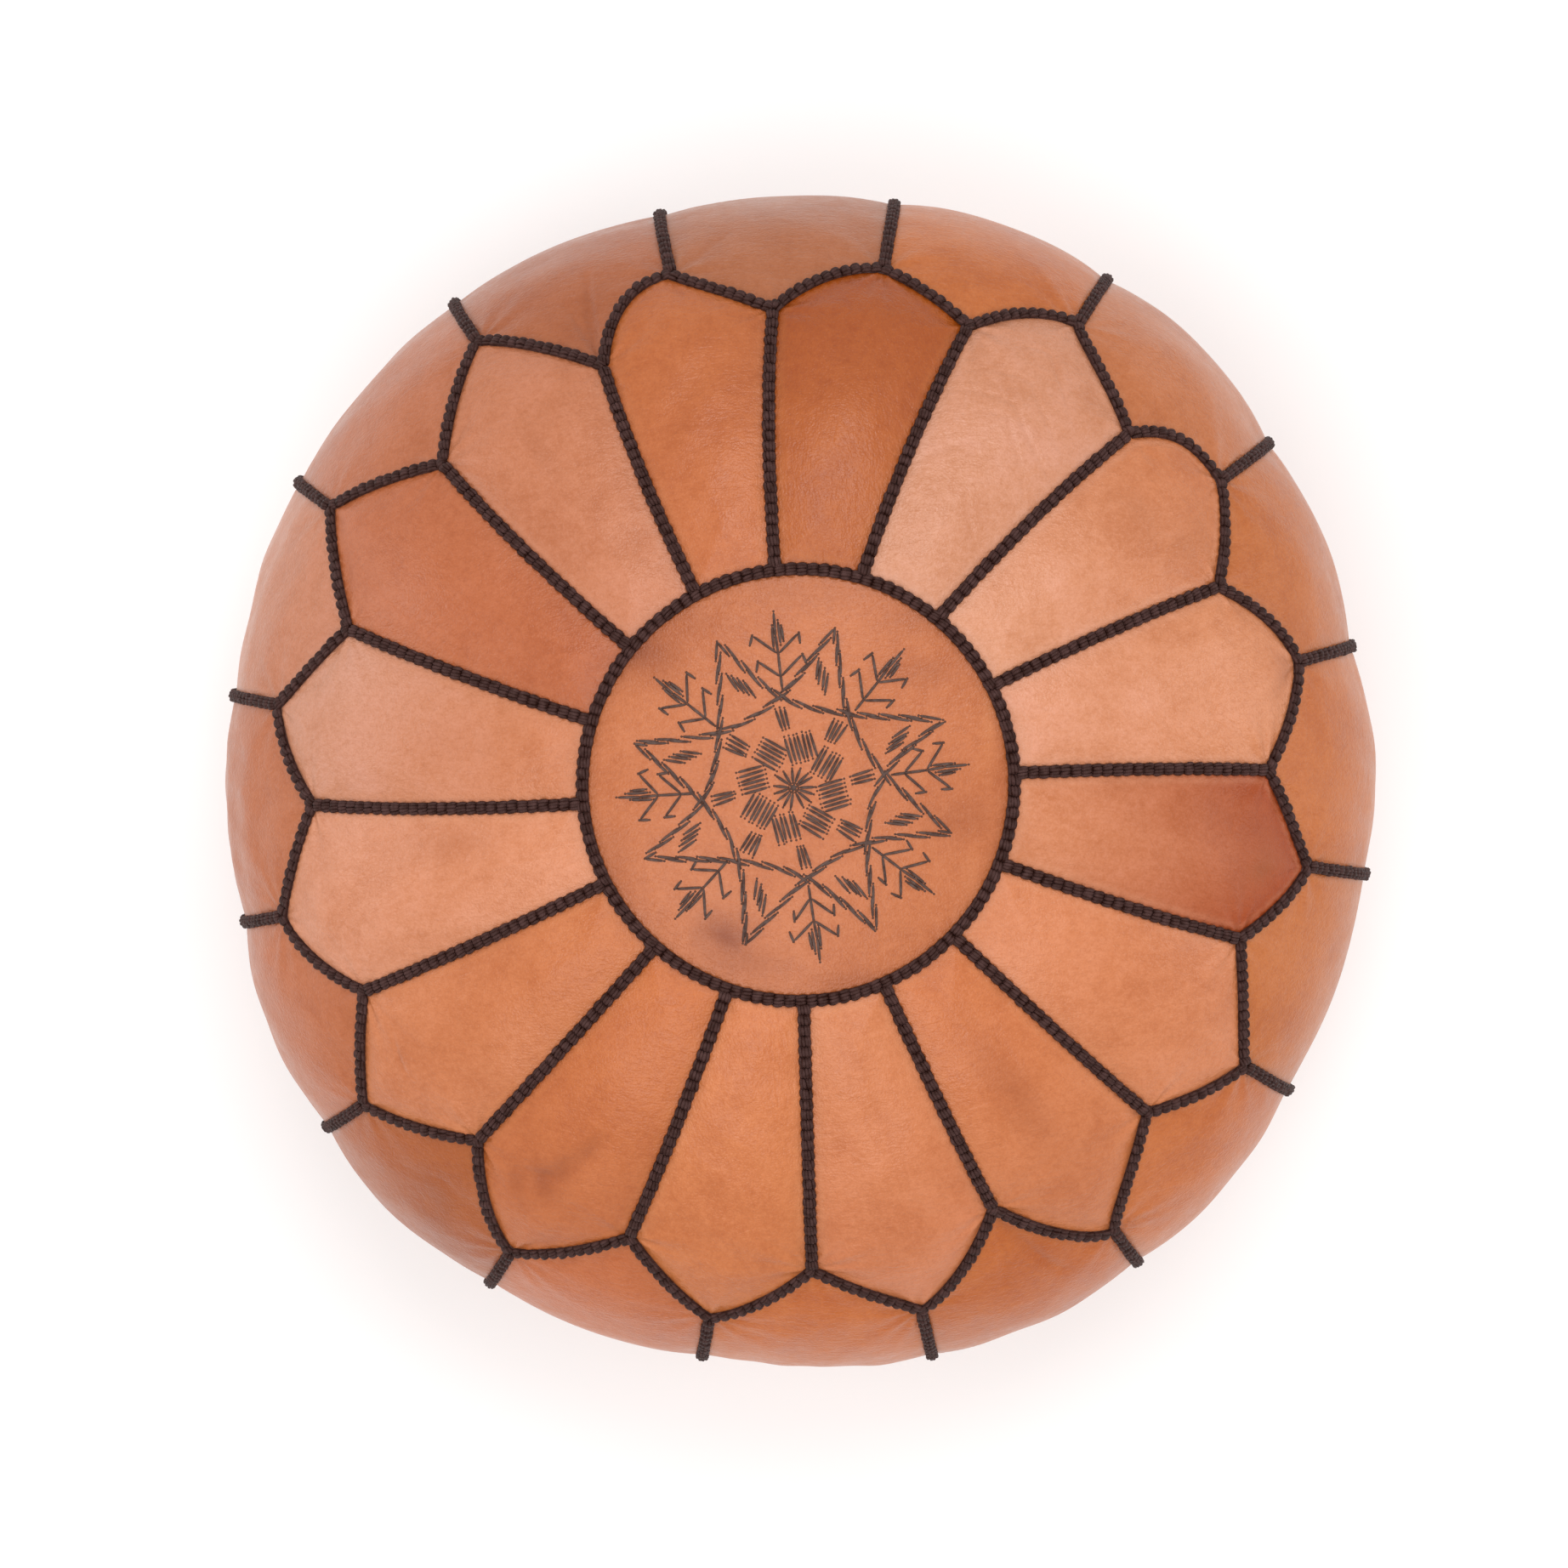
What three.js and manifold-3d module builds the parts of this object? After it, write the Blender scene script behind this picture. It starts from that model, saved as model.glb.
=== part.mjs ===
// A round leather pouf: an embroidered medallion, sixteen petals and sixteen side panels, joined by raised
// braided seams, on a flat two-piece base with a zip, filled with loose stuffing.
// Millimetres, +Z up. The origin is on the floor under the middle of the base, and the zip runs along X.
import * as THREE from "three";
import { mergeVertices } from "three/addons/utils/BufferGeometryUtils.js";
import Module from "manifold-3d";

const wasm = await Module();
wasm.setup();

// Overall form
const RADIUS = 275; // leather at its widest girth
const HEIGHT = 340; // floor to the top of the crown
const BELLY_Z = 165; // height of the widest girth
const CROWN_POWER = 2.5; // superellipse power of the domed upper half
const UNDER_POWER = 2.2; // superellipse power of the turn under to the floor
const FLAT_RADIUS = 185; // leather that lies on the floor
const BASE_SEAM_Z = 8; // height of the seam that joins the sides to the base

// Leather
const LEATHER = 2; // thickness, with its folded seam allowances
const SEAM_GAP = 0.7; // between two panels under a braid
const SECTORS = 16;
const PITCH_DEG = 360 / SECTORS;
const PETAL_GRID = { across: 6, along: 5 };
const SIDE_GRID = { across: 6, along: 8 };

// Each leather piece is cut by hand, so each sector has its own outline. Sectors run clockwise seen from
// above, and drifts are anticlockwise from an even pitch that starts at the angle named here.
const SEAM_START_DEG = 92.8; // inner ends of the radial seams, on the medallion's ring
const VALLEY_START_DEG = 91.6; // outer ends of the radial seams
const TIP_START_DEG = 80.6; // petal tips, where the side seams start
const RING_RADIUS = 94.3; // seam round the medallion
// seam and valley drift in degrees, valley radius, tip drift, tip radius, drift of the side seam at the
// base, and the roundness of the petal's first and second shoulder (1 is straight)
const CUTS = [
  [3.5, 1.5, 212, 0, 234, -0.5, 1.8, 1.1],
  [3, 0.5, 217, 0.5, 241, -1, 1.7, 0.8],
  [2.5, 0, 214, 0, 234, -0.5, 3, 1.1],
  [2, 1, 208, 0.5, 234, 0, 1.5, 1.3],
  [0.5, 0, 212, 0, 236, -0.5, 0.9, 1.3],
  [-1.5, 1.5, 210, -0.5, 239, -0.5, 0.8, 1.1],
  [-2, 0, 214, -0.5, 248, -0.5, 0.8, 1.5],
  [-2, 0.5, 208, 0, 245, 0, 1.3, 0.9],
  [-1.5, 0, 218, 0, 247, 0, 1.3, 1.1],
  [0.5, 0.5, 217, 0.5, 248, 0.5, 1.2, 1.3],
  [0.5, 1.5, 214, 1, 245, 0.5, 1.1, 1],
  [1.5, 1.5, 216, 1.5, 245, 1, 1.5, 1],
  [2, 1, 221, 1, 243, 1, 1.4, 0.9],
  [2.5, 2, 215, 1.5, 247, 0, 1, 1],
  [3, 1.5, 214, 0.5, 246, -0.5, 1.1, 1.1],
  [3, 1, 205, 1, 236, -0.5, 2.4, 0.8],
].map(([seam, valley, valleyRadius, tip, tipRadius, foot, first, second], k) => ({
  seam: SEAM_START_DEG - PITCH_DEG * k + seam,
  valley: VALLEY_START_DEG - PITCH_DEG * k + valley,
  valleyRadius,
  tip: TIP_START_DEG - PITCH_DEG * k + tip,
  tipRadius,
  foot: TIP_START_DEG - PITCH_DEG * k + foot,
  shoulders: [first, second],
}));

// Braided seams
const BRAID_WIDTH = 6.2;
const BRAID_TOP_WIDTH = 4.2;
const BRAID_LIFT = 0.5; // underside above the leather
const BRAID_RISE = 3.2; // top above the leather
const BRAID_GAP = 0.6; // between the end of one braid and the side of another
const BRAID_TUCK = 0.5; // where a side braid starts, inside the scallop braid that it is joined to
const MITRE_REACH = 5.2; // how far a braid's outer corner reaches where it turns at a valley
const RING_STEPS = 48;

// Stuffing
const STUFFING_INSET = 7; // under the outside of the leather
const STUFFING_FLOOR = 13; // clear of the zip
const STUFFING_FOOT_DEG = 168; // latitude where its side meets its flat underside

// Base
const BASE_SEAM_TURN = 0.3; // degrees that the base's rim stops short of the seam line

// Zip, in a slit along X whose leather edges are folded up
const SLIT = { from: -155, to: 158, halfWidth: 7 };
const LIP = { thickness: 1.8, top: 6.8 };
const TAPE = { reach: 166, inner: 2.6, outer: 17, bottom: 7.1, top: 7.9 };
const BEAD = { inner: 0.65, outer: 3, bottom: 6.4, top: 8.6 }; // the row of teeth
const STOP = { length: 4, bottom: 5.4, top: 9.6 };
const TOP_STOP_X = 147;
const END_STOP_X = -147;
const PLATE = { halfWidth: 5.5, lowBottom: 5, lowTop: 6, highBottom: 9, highTop: 10 };
const WEB = { halfWidth: 0.32, length: 4 }; // the part of the slider that passes between the rows
const KEY = 0.2; // how far joined boxes run into each other
const SLIDER = { x: 136, halfLength: 7, flange: 0.9, flangeGap: 0.35 };
const PIVOT = { x: 140, z: 3.2, pinRadius: 0.6, holeRadius: 0.85, eyeRadius: 1.6 };
const PIN_KEY = 0.3; // how far the pin runs into each ear
const EAR = { halfLength: 1.6, inner: 2.4, outer: 3.4, bottom: 2.1 };
const PULL = { eyeHalfWidth: 2, neck: 5, shoulder: 8, length: 27, halfWidth: 3.6, thickness: 1.4 };

// Materials
const leather = (colour) => new THREE.MeshStandardMaterial({ color: colour, roughness: 0.55, metalness: 0 });
const TANS = [0xb8693f, 0xd29a6c, 0xc77f4c, 0xd48f62, 0xb56a42, 0xcb8453, 0xbd7448, 0xd08b59];
const MEDALLION_TAN = 0xc87b4d;
const BASE_TAN = 0xbd7a4b;
const thread = new THREE.MeshStandardMaterial({ color: 0x3a2822, roughness: 0.85, metalness: 0 });
const tape = new THREE.MeshStandardMaterial({ color: 0x6b4630, roughness: 0.9, metalness: 0 });
const brass = new THREE.MeshStandardMaterial({ color: 0xa9854a, roughness: 0.35, metalness: 1 });
const cotton = new THREE.MeshStandardMaterial({ color: 0xe6ddcc, roughness: 0.95, metalness: 0 });

const radians = THREE.MathUtils.degToRad;
const degrees = THREE.MathUtils.radToDeg;
const lerp = THREE.MathUtils.lerp;

// The half section by latitude: 0 at the top, 90 at the belly and 180 where the leather meets the floor.
function section(latitude) {
  const sine = Math.sin(radians(latitude));
  const cosine = Math.cos(radians(latitude));
  if (latitude <= 90)
    return new THREE.Vector2(
      RADIUS * Math.pow(Math.max(sine, 0), 2 / CROWN_POWER),
      BELLY_Z + (HEIGHT - BELLY_Z) * Math.pow(Math.max(cosine, 0), 2 / CROWN_POWER),
    );
  return new THREE.Vector2(
    FLAT_RADIUS + (RADIUS - FLAT_RADIUS) * Math.pow(sine, 2 / UNDER_POWER),
    BELLY_Z - BELLY_Z * Math.pow(-cosine, 2 / UNDER_POWER),
  );
}

// The outward normal of the half section.
function sectionNormal(latitude) {
  const step = 0.25;
  const before = section(Math.max(latitude - step, 0));
  const along = section(Math.min(latitude + step, 180)).sub(before).normalize();
  return new THREE.Vector2(-along.y, along.x);
}

// The crown's latitude at a plan radius, and the lower half's at a height.
const latitudeAtRadius = (r) => degrees(Math.asin(Math.pow(r / RADIUS, CROWN_POWER / 2)));
const latitudeAtHeight = (z) => 180 - degrees(Math.acos(Math.pow(1 - z / BELLY_Z, UNDER_POWER / 2)));

const RING_LATITUDE = latitudeAtRadius(RING_RADIUS);
const BASE_SEAM_LATITUDE = latitudeAtHeight(BASE_SEAM_Z);

// The point lifted off the surface at an angle and a latitude, both in degrees.
function surfacePoint({ angle, latitude }, lift = 0) {
  const at = section(latitude).addScaledVector(sectionNormal(latitude), lift);
  return new THREE.Vector3(at.x * Math.cos(radians(angle)), at.x * Math.sin(radians(angle)), at.y);
}

// Geometry from points and quads: each quad is four point indices, anticlockwise seen from outside.
function quadGeometry(points, quads) {
  const geometry = new THREE.BufferGeometry().setFromPoints(points);
  geometry.setIndex(quads.flatMap(([a, b, c, d]) => [a, b, c, a, c, d]));
  return geometry;
}

// A leather shell over a grid of surface places, place(u, v) with u clockwise and v downwards.
function shellGeometry(place, { across, along }) {
  const points = [];
  for (const lift of [0, -LEATHER])
    for (let j = 0; j <= along; j++)
      for (let i = 0; i <= across; i++) points.push(surfacePoint(place(i / across, j / along), lift));
  const row = across + 1;
  const inside = row * (along + 1);
  const quads = [];
  for (let j = 0; j < along; j++)
    for (let i = 0; i < across; i++) {
      const a = j * row + i;
      const outer = [a, a + 1, a + 1 + row, a + row];
      quads.push(outer, outer.map((p) => p + inside).reverse());
    }
  const rim = [];
  for (let i = 0; i < across; i++) rim.push(i);
  for (let j = 0; j < along; j++) rim.push(j * row + across);
  for (let i = across; i > 0; i--) rim.push(along * row + i);
  for (let j = along; j > 0; j--) rim.push(j * row);
  rim.forEach((p, i) => {
    const next = rim[(i + 1) % rim.length];
    quads.push([p + inside, next + inside, next, p]);
  });
  return quadGeometry(points, quads);
}

// A braid of constant section laid along surface places; a closed one runs back to its first place.
function braidGeometry(places, closed) {
  const onSurface = places.map((p) => surfacePoint(p));
  const count = places.length;
  const neighbour = (i) => (closed ? (i + count) % count : Math.min(Math.max(i, 0), count - 1));
  const points = [];
  places.forEach((place, i) => {
    const here = onSurface[i];
    const normal = surfacePoint(place, 1).sub(here);
    const into = here.clone().sub(onSurface[neighbour(i - 1)]).normalize();
    const out = onSurface[neighbour(i + 1)].clone().sub(here).normalize();
    const along = into.clone().add(out).normalize();
    const mitre = 1 / Math.max(along.dot(out.lengthSq() > 0 ? out : into), 0.5);
    const side = normal.clone().cross(along).normalize().multiplyScalar(mitre);
    for (const [width, lift] of [
      [-BRAID_WIDTH, BRAID_LIFT],
      [BRAID_WIDTH, BRAID_LIFT],
      [BRAID_TOP_WIDTH, BRAID_RISE],
      [-BRAID_TOP_WIDTH, BRAID_RISE],
    ])
      points.push(here.clone().addScaledVector(side, width / 2).addScaledVector(normal, lift));
  });
  const quads = [];
  for (let i = 0; i < (closed ? count : count - 1); i++)
    for (let c = 0; c < 4; c++) {
      const a = i * 4;
      const b = neighbour(i + 1) * 4;
      const d = (c + 1) % 4;
      quads.push([a + c, a + d, b + d, b + c]);
    }
  if (!closed) {
    const last = (count - 1) * 4;
    quads.push([3, 2, 1, 0], [last, last + 1, last + 2, last + 3]);
  }
  return quadGeometry(points, quads);
}

// Solids for joining and cutting.
function solidOf(geometry) {
  const bare = geometry.clone();
  bare.deleteAttribute("normal");
  bare.deleteAttribute("uv");
  const merged = mergeVertices(bare, 1e-3);
  return new wasm.Manifold(
    new wasm.Mesh({
      numProp: 3,
      vertProperties: merged.attributes.position.array,
      triVerts: new Uint32Array(merged.index.array),
    }),
  );
}

function geometryOf(solid) {
  const mesh = solid.getMesh();
  const geometry = new THREE.BufferGeometry();
  geometry.setAttribute("position", new THREE.BufferAttribute(mesh.vertProperties, 3));
  geometry.setIndex(new THREE.BufferAttribute(mesh.triVerts, 1));
  return geometry;
}

const join = (solids) => solids.reduce((whole, solid) => whole.add(solid));

function box([x0, x1], [y0, y1], [z0, z1]) {
  const geometry = new THREE.BoxGeometry(x1 - x0, y1 - y0, z1 - z0);
  return solidOf(geometry.translate((x0 + x1) / 2, (y0 + y1) / 2, (z0 + z1) / 2));
}

// A turned solid about Z from a closed half section, listed with its inside on the left.
function turned(halfSection, segments) {
  return new THREE.LatheGeometry([...halfSection, halfSection[0]], segments).rotateX(Math.PI / 2);
}

const pouf = new THREE.Group();
pouf.name = "pouf";

function add(name, geometry, material) {
  const mesh = new THREE.Mesh(geometry, material);
  mesh.name = name;
  geometry.computeVertexNormals();
  pouf.add(mesh);
}

const number = (k) => String(k + 1).padStart(2, "0");
const after = (k) => (k + 1) % SECTORS;

// Angles of the sector after the last one carry on clockwise instead of jumping back by a turn.
const carriedOn = (angle, before) => (angle > before ? angle - 360 : angle);

// A place on petal k's scalloped outer edge, u from its first valley over the tip to its second valley.
function scallopPlace(k, u) {
  const cut = CUTS[k];
  const second = u > 0.5;
  const towardsTip = second ? 2 - 2 * u : 2 * u;
  const valley = second ? CUTS[after(k)] : cut;
  const valleyAngle = second ? carriedOn(valley.valley, cut.tip) : valley.valley;
  const rise = 1 - Math.pow(1 - towardsTip, cut.shoulders[second ? 1 : 0]);
  return {
    angle: lerp(valleyAngle, cut.tip, towardsTip),
    latitude: latitudeAtRadius(lerp(valley.valleyRadius, cut.tipRadius, rise)),
  };
}

// Panels stop short of the seam lines by half the seam gap.
const insetShare = (share, length) => lerp(SEAM_GAP / 2 / length, 1 - SEAM_GAP / 2 / length, share);
const NARROWEST_PETAL = 36;
const PETAL_LENGTH = 110;
const NARROWEST_SIDE = 80;
const SIDE_LENGTH = 300;

function petalPlace(k, u, v) {
  const outer = scallopPlace(k, u);
  const innerAngle = lerp(CUTS[k].seam, carriedOn(CUTS[after(k)].seam, CUTS[k].seam), u);
  return { angle: lerp(innerAngle, outer.angle, v), latitude: lerp(RING_LATITUDE, outer.latitude, v) };
}

// Side panel k hangs from valley k, between the side seams of petals k - 1 and k.
function sidePlace(k, u, v) {
  const before = (k + SECTORS - 1) % SECTORS;
  const upper = u < 0.5 ? scallopPlace(before, u + 0.5) : scallopPlace(k, u - 0.5);
  const turn = u < 0.5 && k === 0 ? 360 : 0; // petal 16's angles are a turn behind petal 1's
  const firstFoot = CUTS[before].foot + (k === 0 ? 360 : 0);
  const lowerAngle = lerp(firstFoot, CUTS[k].foot, u);
  return {
    angle: lerp(upper.angle + turn, lowerAngle, v),
    latitude: lerp(upper.latitude, BASE_SEAM_LATITUDE, v),
  };
}

function addMedallion() {
  const steps = 3;
  const segments = 32;
  const reach = RING_RADIUS - SEAM_GAP / 2;
  const outside = [];
  const inside = [];
  for (let i = 0; i <= steps; i++) {
    const latitude = latitudeAtRadius((reach * i) / steps);
    outside.push(section(latitude));
    inside.push(section(latitude).add(new THREE.Vector2(0, -LEATHER)));
  }
  add("medallion", turned([...inside, ...outside.reverse()], segments), leather(MEDALLION_TAN));
}

function addPetals() {
  for (let k = 0; k < SECTORS; k++) {
    const place = (u, v) => petalPlace(k, insetShare(u, NARROWEST_PETAL), insetShare(v, PETAL_LENGTH));
    add(`petal_${number(k)}`, shellGeometry(place, PETAL_GRID), leather(TANS[k % TANS.length]));
  }
}

function addSidePanels() {
  for (let k = 0; k < SECTORS; k++) {
    const place = (u, v) => sidePlace(k, insetShare(u, NARROWEST_SIDE), insetShare(v, SIDE_LENGTH));
    add(`side_panel_${number(k)}`, shellGeometry(place, SIDE_GRID), leather(TANS[(k + 3) % TANS.length]));
  }
}

// Places along a seam, which gives up a length at each end to the braids that it meets.
function trimmed(place, steps, fromStart, fromEnd) {
  const nudge = 0.01;
  const speedAt = (v) =>
    surfacePoint(place(v)).distanceTo(surfacePoint(place(v < 0.5 ? v + nudge : v - nudge))) / nudge;
  const first = fromStart / speedAt(0);
  const last = 1 - fromEnd / speedAt(1);
  return Array.from({ length: steps + 1 }, (_, i) => place(Math.min(Math.max(i / steps, first), last)));
}

function addBraids() {
  const ring = Array.from({ length: RING_STEPS }, (_, i) => ({
    angle: (-360 * i) / RING_STEPS,
    latitude: RING_LATITUDE,
  }));
  add("medallion_ring_braid", braidGeometry(ring, true), thread);

  for (let k = 0; k < SECTORS; k++) {
    const seam = trimmed(
      (v) => petalPlace(k, 0, v),
      PETAL_GRID.along,
      BRAID_WIDTH / 2 + BRAID_GAP,
      MITRE_REACH + BRAID_GAP,
    );
    add(`radial_braid_${number(k)}`, braidGeometry(seam, false), thread);
  }

  const scallops = [];
  for (let k = 0; k < SECTORS; k++)
    for (let i = 0; i < PETAL_GRID.across; i++) scallops.push(scallopPlace(k, i / PETAL_GRID.across));
  const net = [solidOf(braidGeometry(scallops, true))];
  for (let k = 0; k < SECTORS; k++) {
    const seam = trimmed(
      (v) => sidePlace(k, 1, v),
      SIDE_GRID.along,
      BRAID_TUCK,
      BRAID_WIDTH / 2 + BRAID_GAP,
    );
    net.push(solidOf(braidGeometry(seam, false)));
  }
  add("scallop_and_side_braid", geometryOf(join(net)), thread);

  const foot = Array.from({ length: RING_STEPS * 2 }, (_, i) => ({
    angle: (-180 * i) / RING_STEPS,
    latitude: BASE_SEAM_LATITUDE,
  }));
  add("base_ring_braid", braidGeometry(foot, true), thread);
}

// The base: a flat disc with a turned-up rim, in two halves whose slit edges fold up as lips.
function addBase() {
  const steps = 3;
  const rimLatitude = BASE_SEAM_LATITUDE + BASE_SEAM_TURN;
  const outside = [new THREE.Vector2(0, 0)];
  const inside = [new THREE.Vector2(0, LEATHER)];
  for (let i = 0; i <= steps; i++) {
    const latitude = lerp(180, rimLatitude, i / steps);
    outside.push(section(latitude));
    inside.push(section(latitude).addScaledVector(sectionNormal(latitude), -LEATHER));
  }
  const disc = solidOf(turned([...outside, ...inside.reverse()], RING_STEPS));
  const { from, to, halfWidth } = SLIT;
  for (const [name, side] of [
    ["base_rear", 1],
    ["base_front", -1],
  ]) {
    const span = (low, high) => (side > 0 ? [low, high] : [-high, -low]);
    const half = disc
      .subtract(box([-RADIUS, RADIUS], span(-RADIUS, SEAM_GAP / 2), [-LEATHER, HEIGHT]))
      .subtract(box([from, to], span(0, halfWidth), [-LEATHER, HEIGHT]));
    const lip = box([from, to], span(halfWidth, halfWidth + LIP.thickness), [LEATHER / 2, LIP.top]);
    add(name, geometryOf(half.add(lip)), leather(BASE_TAN));
  }
}

function addStuffing() {
  const top = [];
  const steps = 16;
  for (let i = 0; i <= steps; i++) {
    const latitude = lerp(0, STUFFING_FOOT_DEG, i / steps);
    const at = section(latitude).addScaledVector(sectionNormal(latitude), -STUFFING_INSET);
    top.push(new THREE.Vector2(Math.max(at.x, 0), Math.max(at.y, STUFFING_FLOOR)));
  }
  const bottom = new THREE.Vector2(0, STUFFING_FLOOR);
  add("stuffing", turned([bottom, ...top.reverse()], 28), cotton);
}

// A flat bar of a zip tape's section along X, with its row of teeth and the stop at the closed end.
function addZipTapes() {
  for (const [name, side] of [
    ["zip_tape_rear", 1],
    ["zip_tape_front", -1],
  ]) {
    const span = (low, high) => (side > 0 ? [low, high] : [-high, -low]);
    const strip = box([-TAPE.reach, TAPE.reach], span(TAPE.inner, TAPE.outer), [TAPE.bottom, TAPE.top]);
    const row = box([-TAPE.reach, TAPE.reach], span(BEAD.inner, BEAD.outer), [BEAD.bottom, BEAD.top]);
    const stop = box(
      [TOP_STOP_X, TOP_STOP_X + STOP.length],
      span(BEAD.inner, BEAD.outer),
      [STOP.bottom, STOP.top],
    );
    add(name, geometryOf(join([strip, row, stop])), tape);
  }
}

// Two plates over and under the teeth, joined by a thin web that stands between the two rows.
function plates(from, to, webFrom, webTo) {
  const wide = [-PLATE.halfWidth, PLATE.halfWidth];
  return [
    box([from, to], wide, [PLATE.lowBottom, PLATE.lowTop]),
    box([from, to], wide, [PLATE.highBottom, PLATE.highTop]),
    box([webFrom, webTo], [-WEB.halfWidth, WEB.halfWidth], [PLATE.lowTop - KEY, PLATE.highBottom + KEY]),
  ];
}

function addZipEndStop() {
  const from = END_STOP_X - STOP.length;
  add("zip_end_stop", geometryOf(join(plates(from, END_STOP_X, from, END_STOP_X))), brass);
}

function addZipSlider() {
  const { x, halfLength, flange, flangeGap } = SLIDER;
  const pieces = plates(x - halfLength, x + halfLength, x + halfLength - WEB.length, x + halfLength);
  for (const side of [1, -1]) {
    const span = (low, high) => (side > 0 ? [low, high] : [-high, -low]);
    const edge = span(PLATE.halfWidth - flange, PLATE.halfWidth);
    const whole = [x - halfLength, x + halfLength];
    pieces.push(box(whole, edge, [PLATE.lowTop - KEY, TAPE.bottom - flangeGap]));
    pieces.push(box(whole, edge, [TAPE.top + flangeGap, PLATE.highBottom + KEY]));
    pieces.push(
      box(
        [PIVOT.x - EAR.halfLength, PIVOT.x + EAR.halfLength],
        span(EAR.inner, EAR.outer),
        [EAR.bottom, PLATE.lowBottom + KEY],
      ),
    );
  }
  const pin = new THREE.CylinderGeometry(PIVOT.pinRadius, PIVOT.pinRadius, 2 * (EAR.inner + PIN_KEY), 12);
  pieces.push(solidOf(pin.translate(PIVOT.x, 0, PIVOT.z)));
  add("zip_slider", geometryOf(join(pieces)), brass);
}

function addZipPull() {
  const eye = new THREE.Shape().absarc(0, 0, PIVOT.eyeRadius, 0, 2 * Math.PI);
  eye.holes.push(new THREE.Path().absarc(0, 0, PIVOT.holeRadius, 0, 2 * Math.PI, true));
  const eyeGeometry = new THREE.ExtrudeGeometry(eye, {
    depth: 2 * PULL.eyeHalfWidth,
    bevelEnabled: false,
    curveSegments: 8,
  });
  eyeGeometry.translate(0, 0, -PULL.eyeHalfWidth).rotateX(Math.PI / 2);

  const leaf = new THREE.Shape();
  const neck = -(PIVOT.holeRadius + PIVOT.eyeRadius) / 2;
  leaf.moveTo(neck, PULL.eyeHalfWidth);
  leaf.lineTo(neck - PULL.neck, PULL.eyeHalfWidth);
  leaf.lineTo(neck - PULL.shoulder, PULL.halfWidth);
  leaf.lineTo(PULL.halfWidth - PULL.length, PULL.halfWidth);
  leaf.absarc(PULL.halfWidth - PULL.length, 0, PULL.halfWidth, Math.PI / 2, 1.5 * Math.PI);
  leaf.lineTo(neck - PULL.shoulder, -PULL.halfWidth);
  leaf.lineTo(neck - PULL.neck, -PULL.eyeHalfWidth);
  leaf.lineTo(neck, -PULL.eyeHalfWidth);
  const leafGeometry = new THREE.ExtrudeGeometry(leaf, {
    depth: PULL.thickness,
    bevelEnabled: false,
    curveSegments: 6,
  });
  leafGeometry.translate(0, 0, -PULL.thickness / 2);
  const pull = solidOf(eyeGeometry).add(solidOf(leafGeometry));
  add("zip_pull", geometryOf(pull).translate(PIVOT.x, 0, PIVOT.z), brass);
}

addMedallion();
addPetals();
addSidePanels();
addBraids();
addBase();
addStuffing();
addZipTapes();
addZipEndStop();
addZipSlider();
addZipPull();

export default pouf;
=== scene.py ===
"""A round leather pouf: petals round an embroidered medallion, side panels, braided seams and a zipped base.

Lengths are metres. The pouf stands base down with its middle at the origin, and its zip runs along X.
Places on the cover are an angle about Z, anticlockwise seen from above, and a latitude on the half section:
0 at the top, 90 at the widest girth and 180 where the leather meets the floor, all in degrees.
"""
import math

import bpy
import numpy as np
from mathutils import Matrix, Vector


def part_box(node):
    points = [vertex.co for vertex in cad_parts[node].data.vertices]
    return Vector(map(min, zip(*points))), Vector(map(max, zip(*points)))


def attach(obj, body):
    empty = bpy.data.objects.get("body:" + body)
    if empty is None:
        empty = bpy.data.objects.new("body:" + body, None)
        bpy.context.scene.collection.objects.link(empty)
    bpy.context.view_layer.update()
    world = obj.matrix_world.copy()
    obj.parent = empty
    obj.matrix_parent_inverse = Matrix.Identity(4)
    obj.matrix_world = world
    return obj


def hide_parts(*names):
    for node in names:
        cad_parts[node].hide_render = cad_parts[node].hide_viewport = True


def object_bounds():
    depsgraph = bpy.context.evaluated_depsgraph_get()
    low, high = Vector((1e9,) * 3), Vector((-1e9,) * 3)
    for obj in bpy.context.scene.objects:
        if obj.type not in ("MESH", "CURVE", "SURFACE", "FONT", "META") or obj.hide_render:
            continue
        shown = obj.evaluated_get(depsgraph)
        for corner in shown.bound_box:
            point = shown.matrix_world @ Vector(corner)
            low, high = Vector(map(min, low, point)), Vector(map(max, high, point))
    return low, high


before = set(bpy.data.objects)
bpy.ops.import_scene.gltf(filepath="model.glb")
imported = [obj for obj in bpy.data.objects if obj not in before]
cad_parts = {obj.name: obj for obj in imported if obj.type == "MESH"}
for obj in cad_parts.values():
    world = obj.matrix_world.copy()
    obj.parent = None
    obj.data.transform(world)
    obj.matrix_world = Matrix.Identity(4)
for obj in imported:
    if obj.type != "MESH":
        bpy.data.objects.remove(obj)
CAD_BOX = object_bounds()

MM = 0.001
BODY = "cover"

# ---------------- driving dimensions, as in the CAD model
RADIUS = 275 * MM
HEIGHT = CAD_BOX[1].z
BELLY_Z = 165 * MM
CROWN_POWER = 2.5
UNDER_POWER = 2.2
FLAT_RADIUS = 185 * MM
BASE_SEAM_Z = 8 * MM
RING_RADIUS = 94.3 * MM
LEATHER = 2 * MM
SKIN = 0.8 * LEATHER  # thickness of the shells made here
SEAM_GAP = 0.7 * MM

SECTORS = 16
PITCH_DEG = 360 / SECTORS
SEAM_START_DEG = 92.8
VALLEY_START_DEG = 91.6
TIP_START_DEG = 80.6
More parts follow.
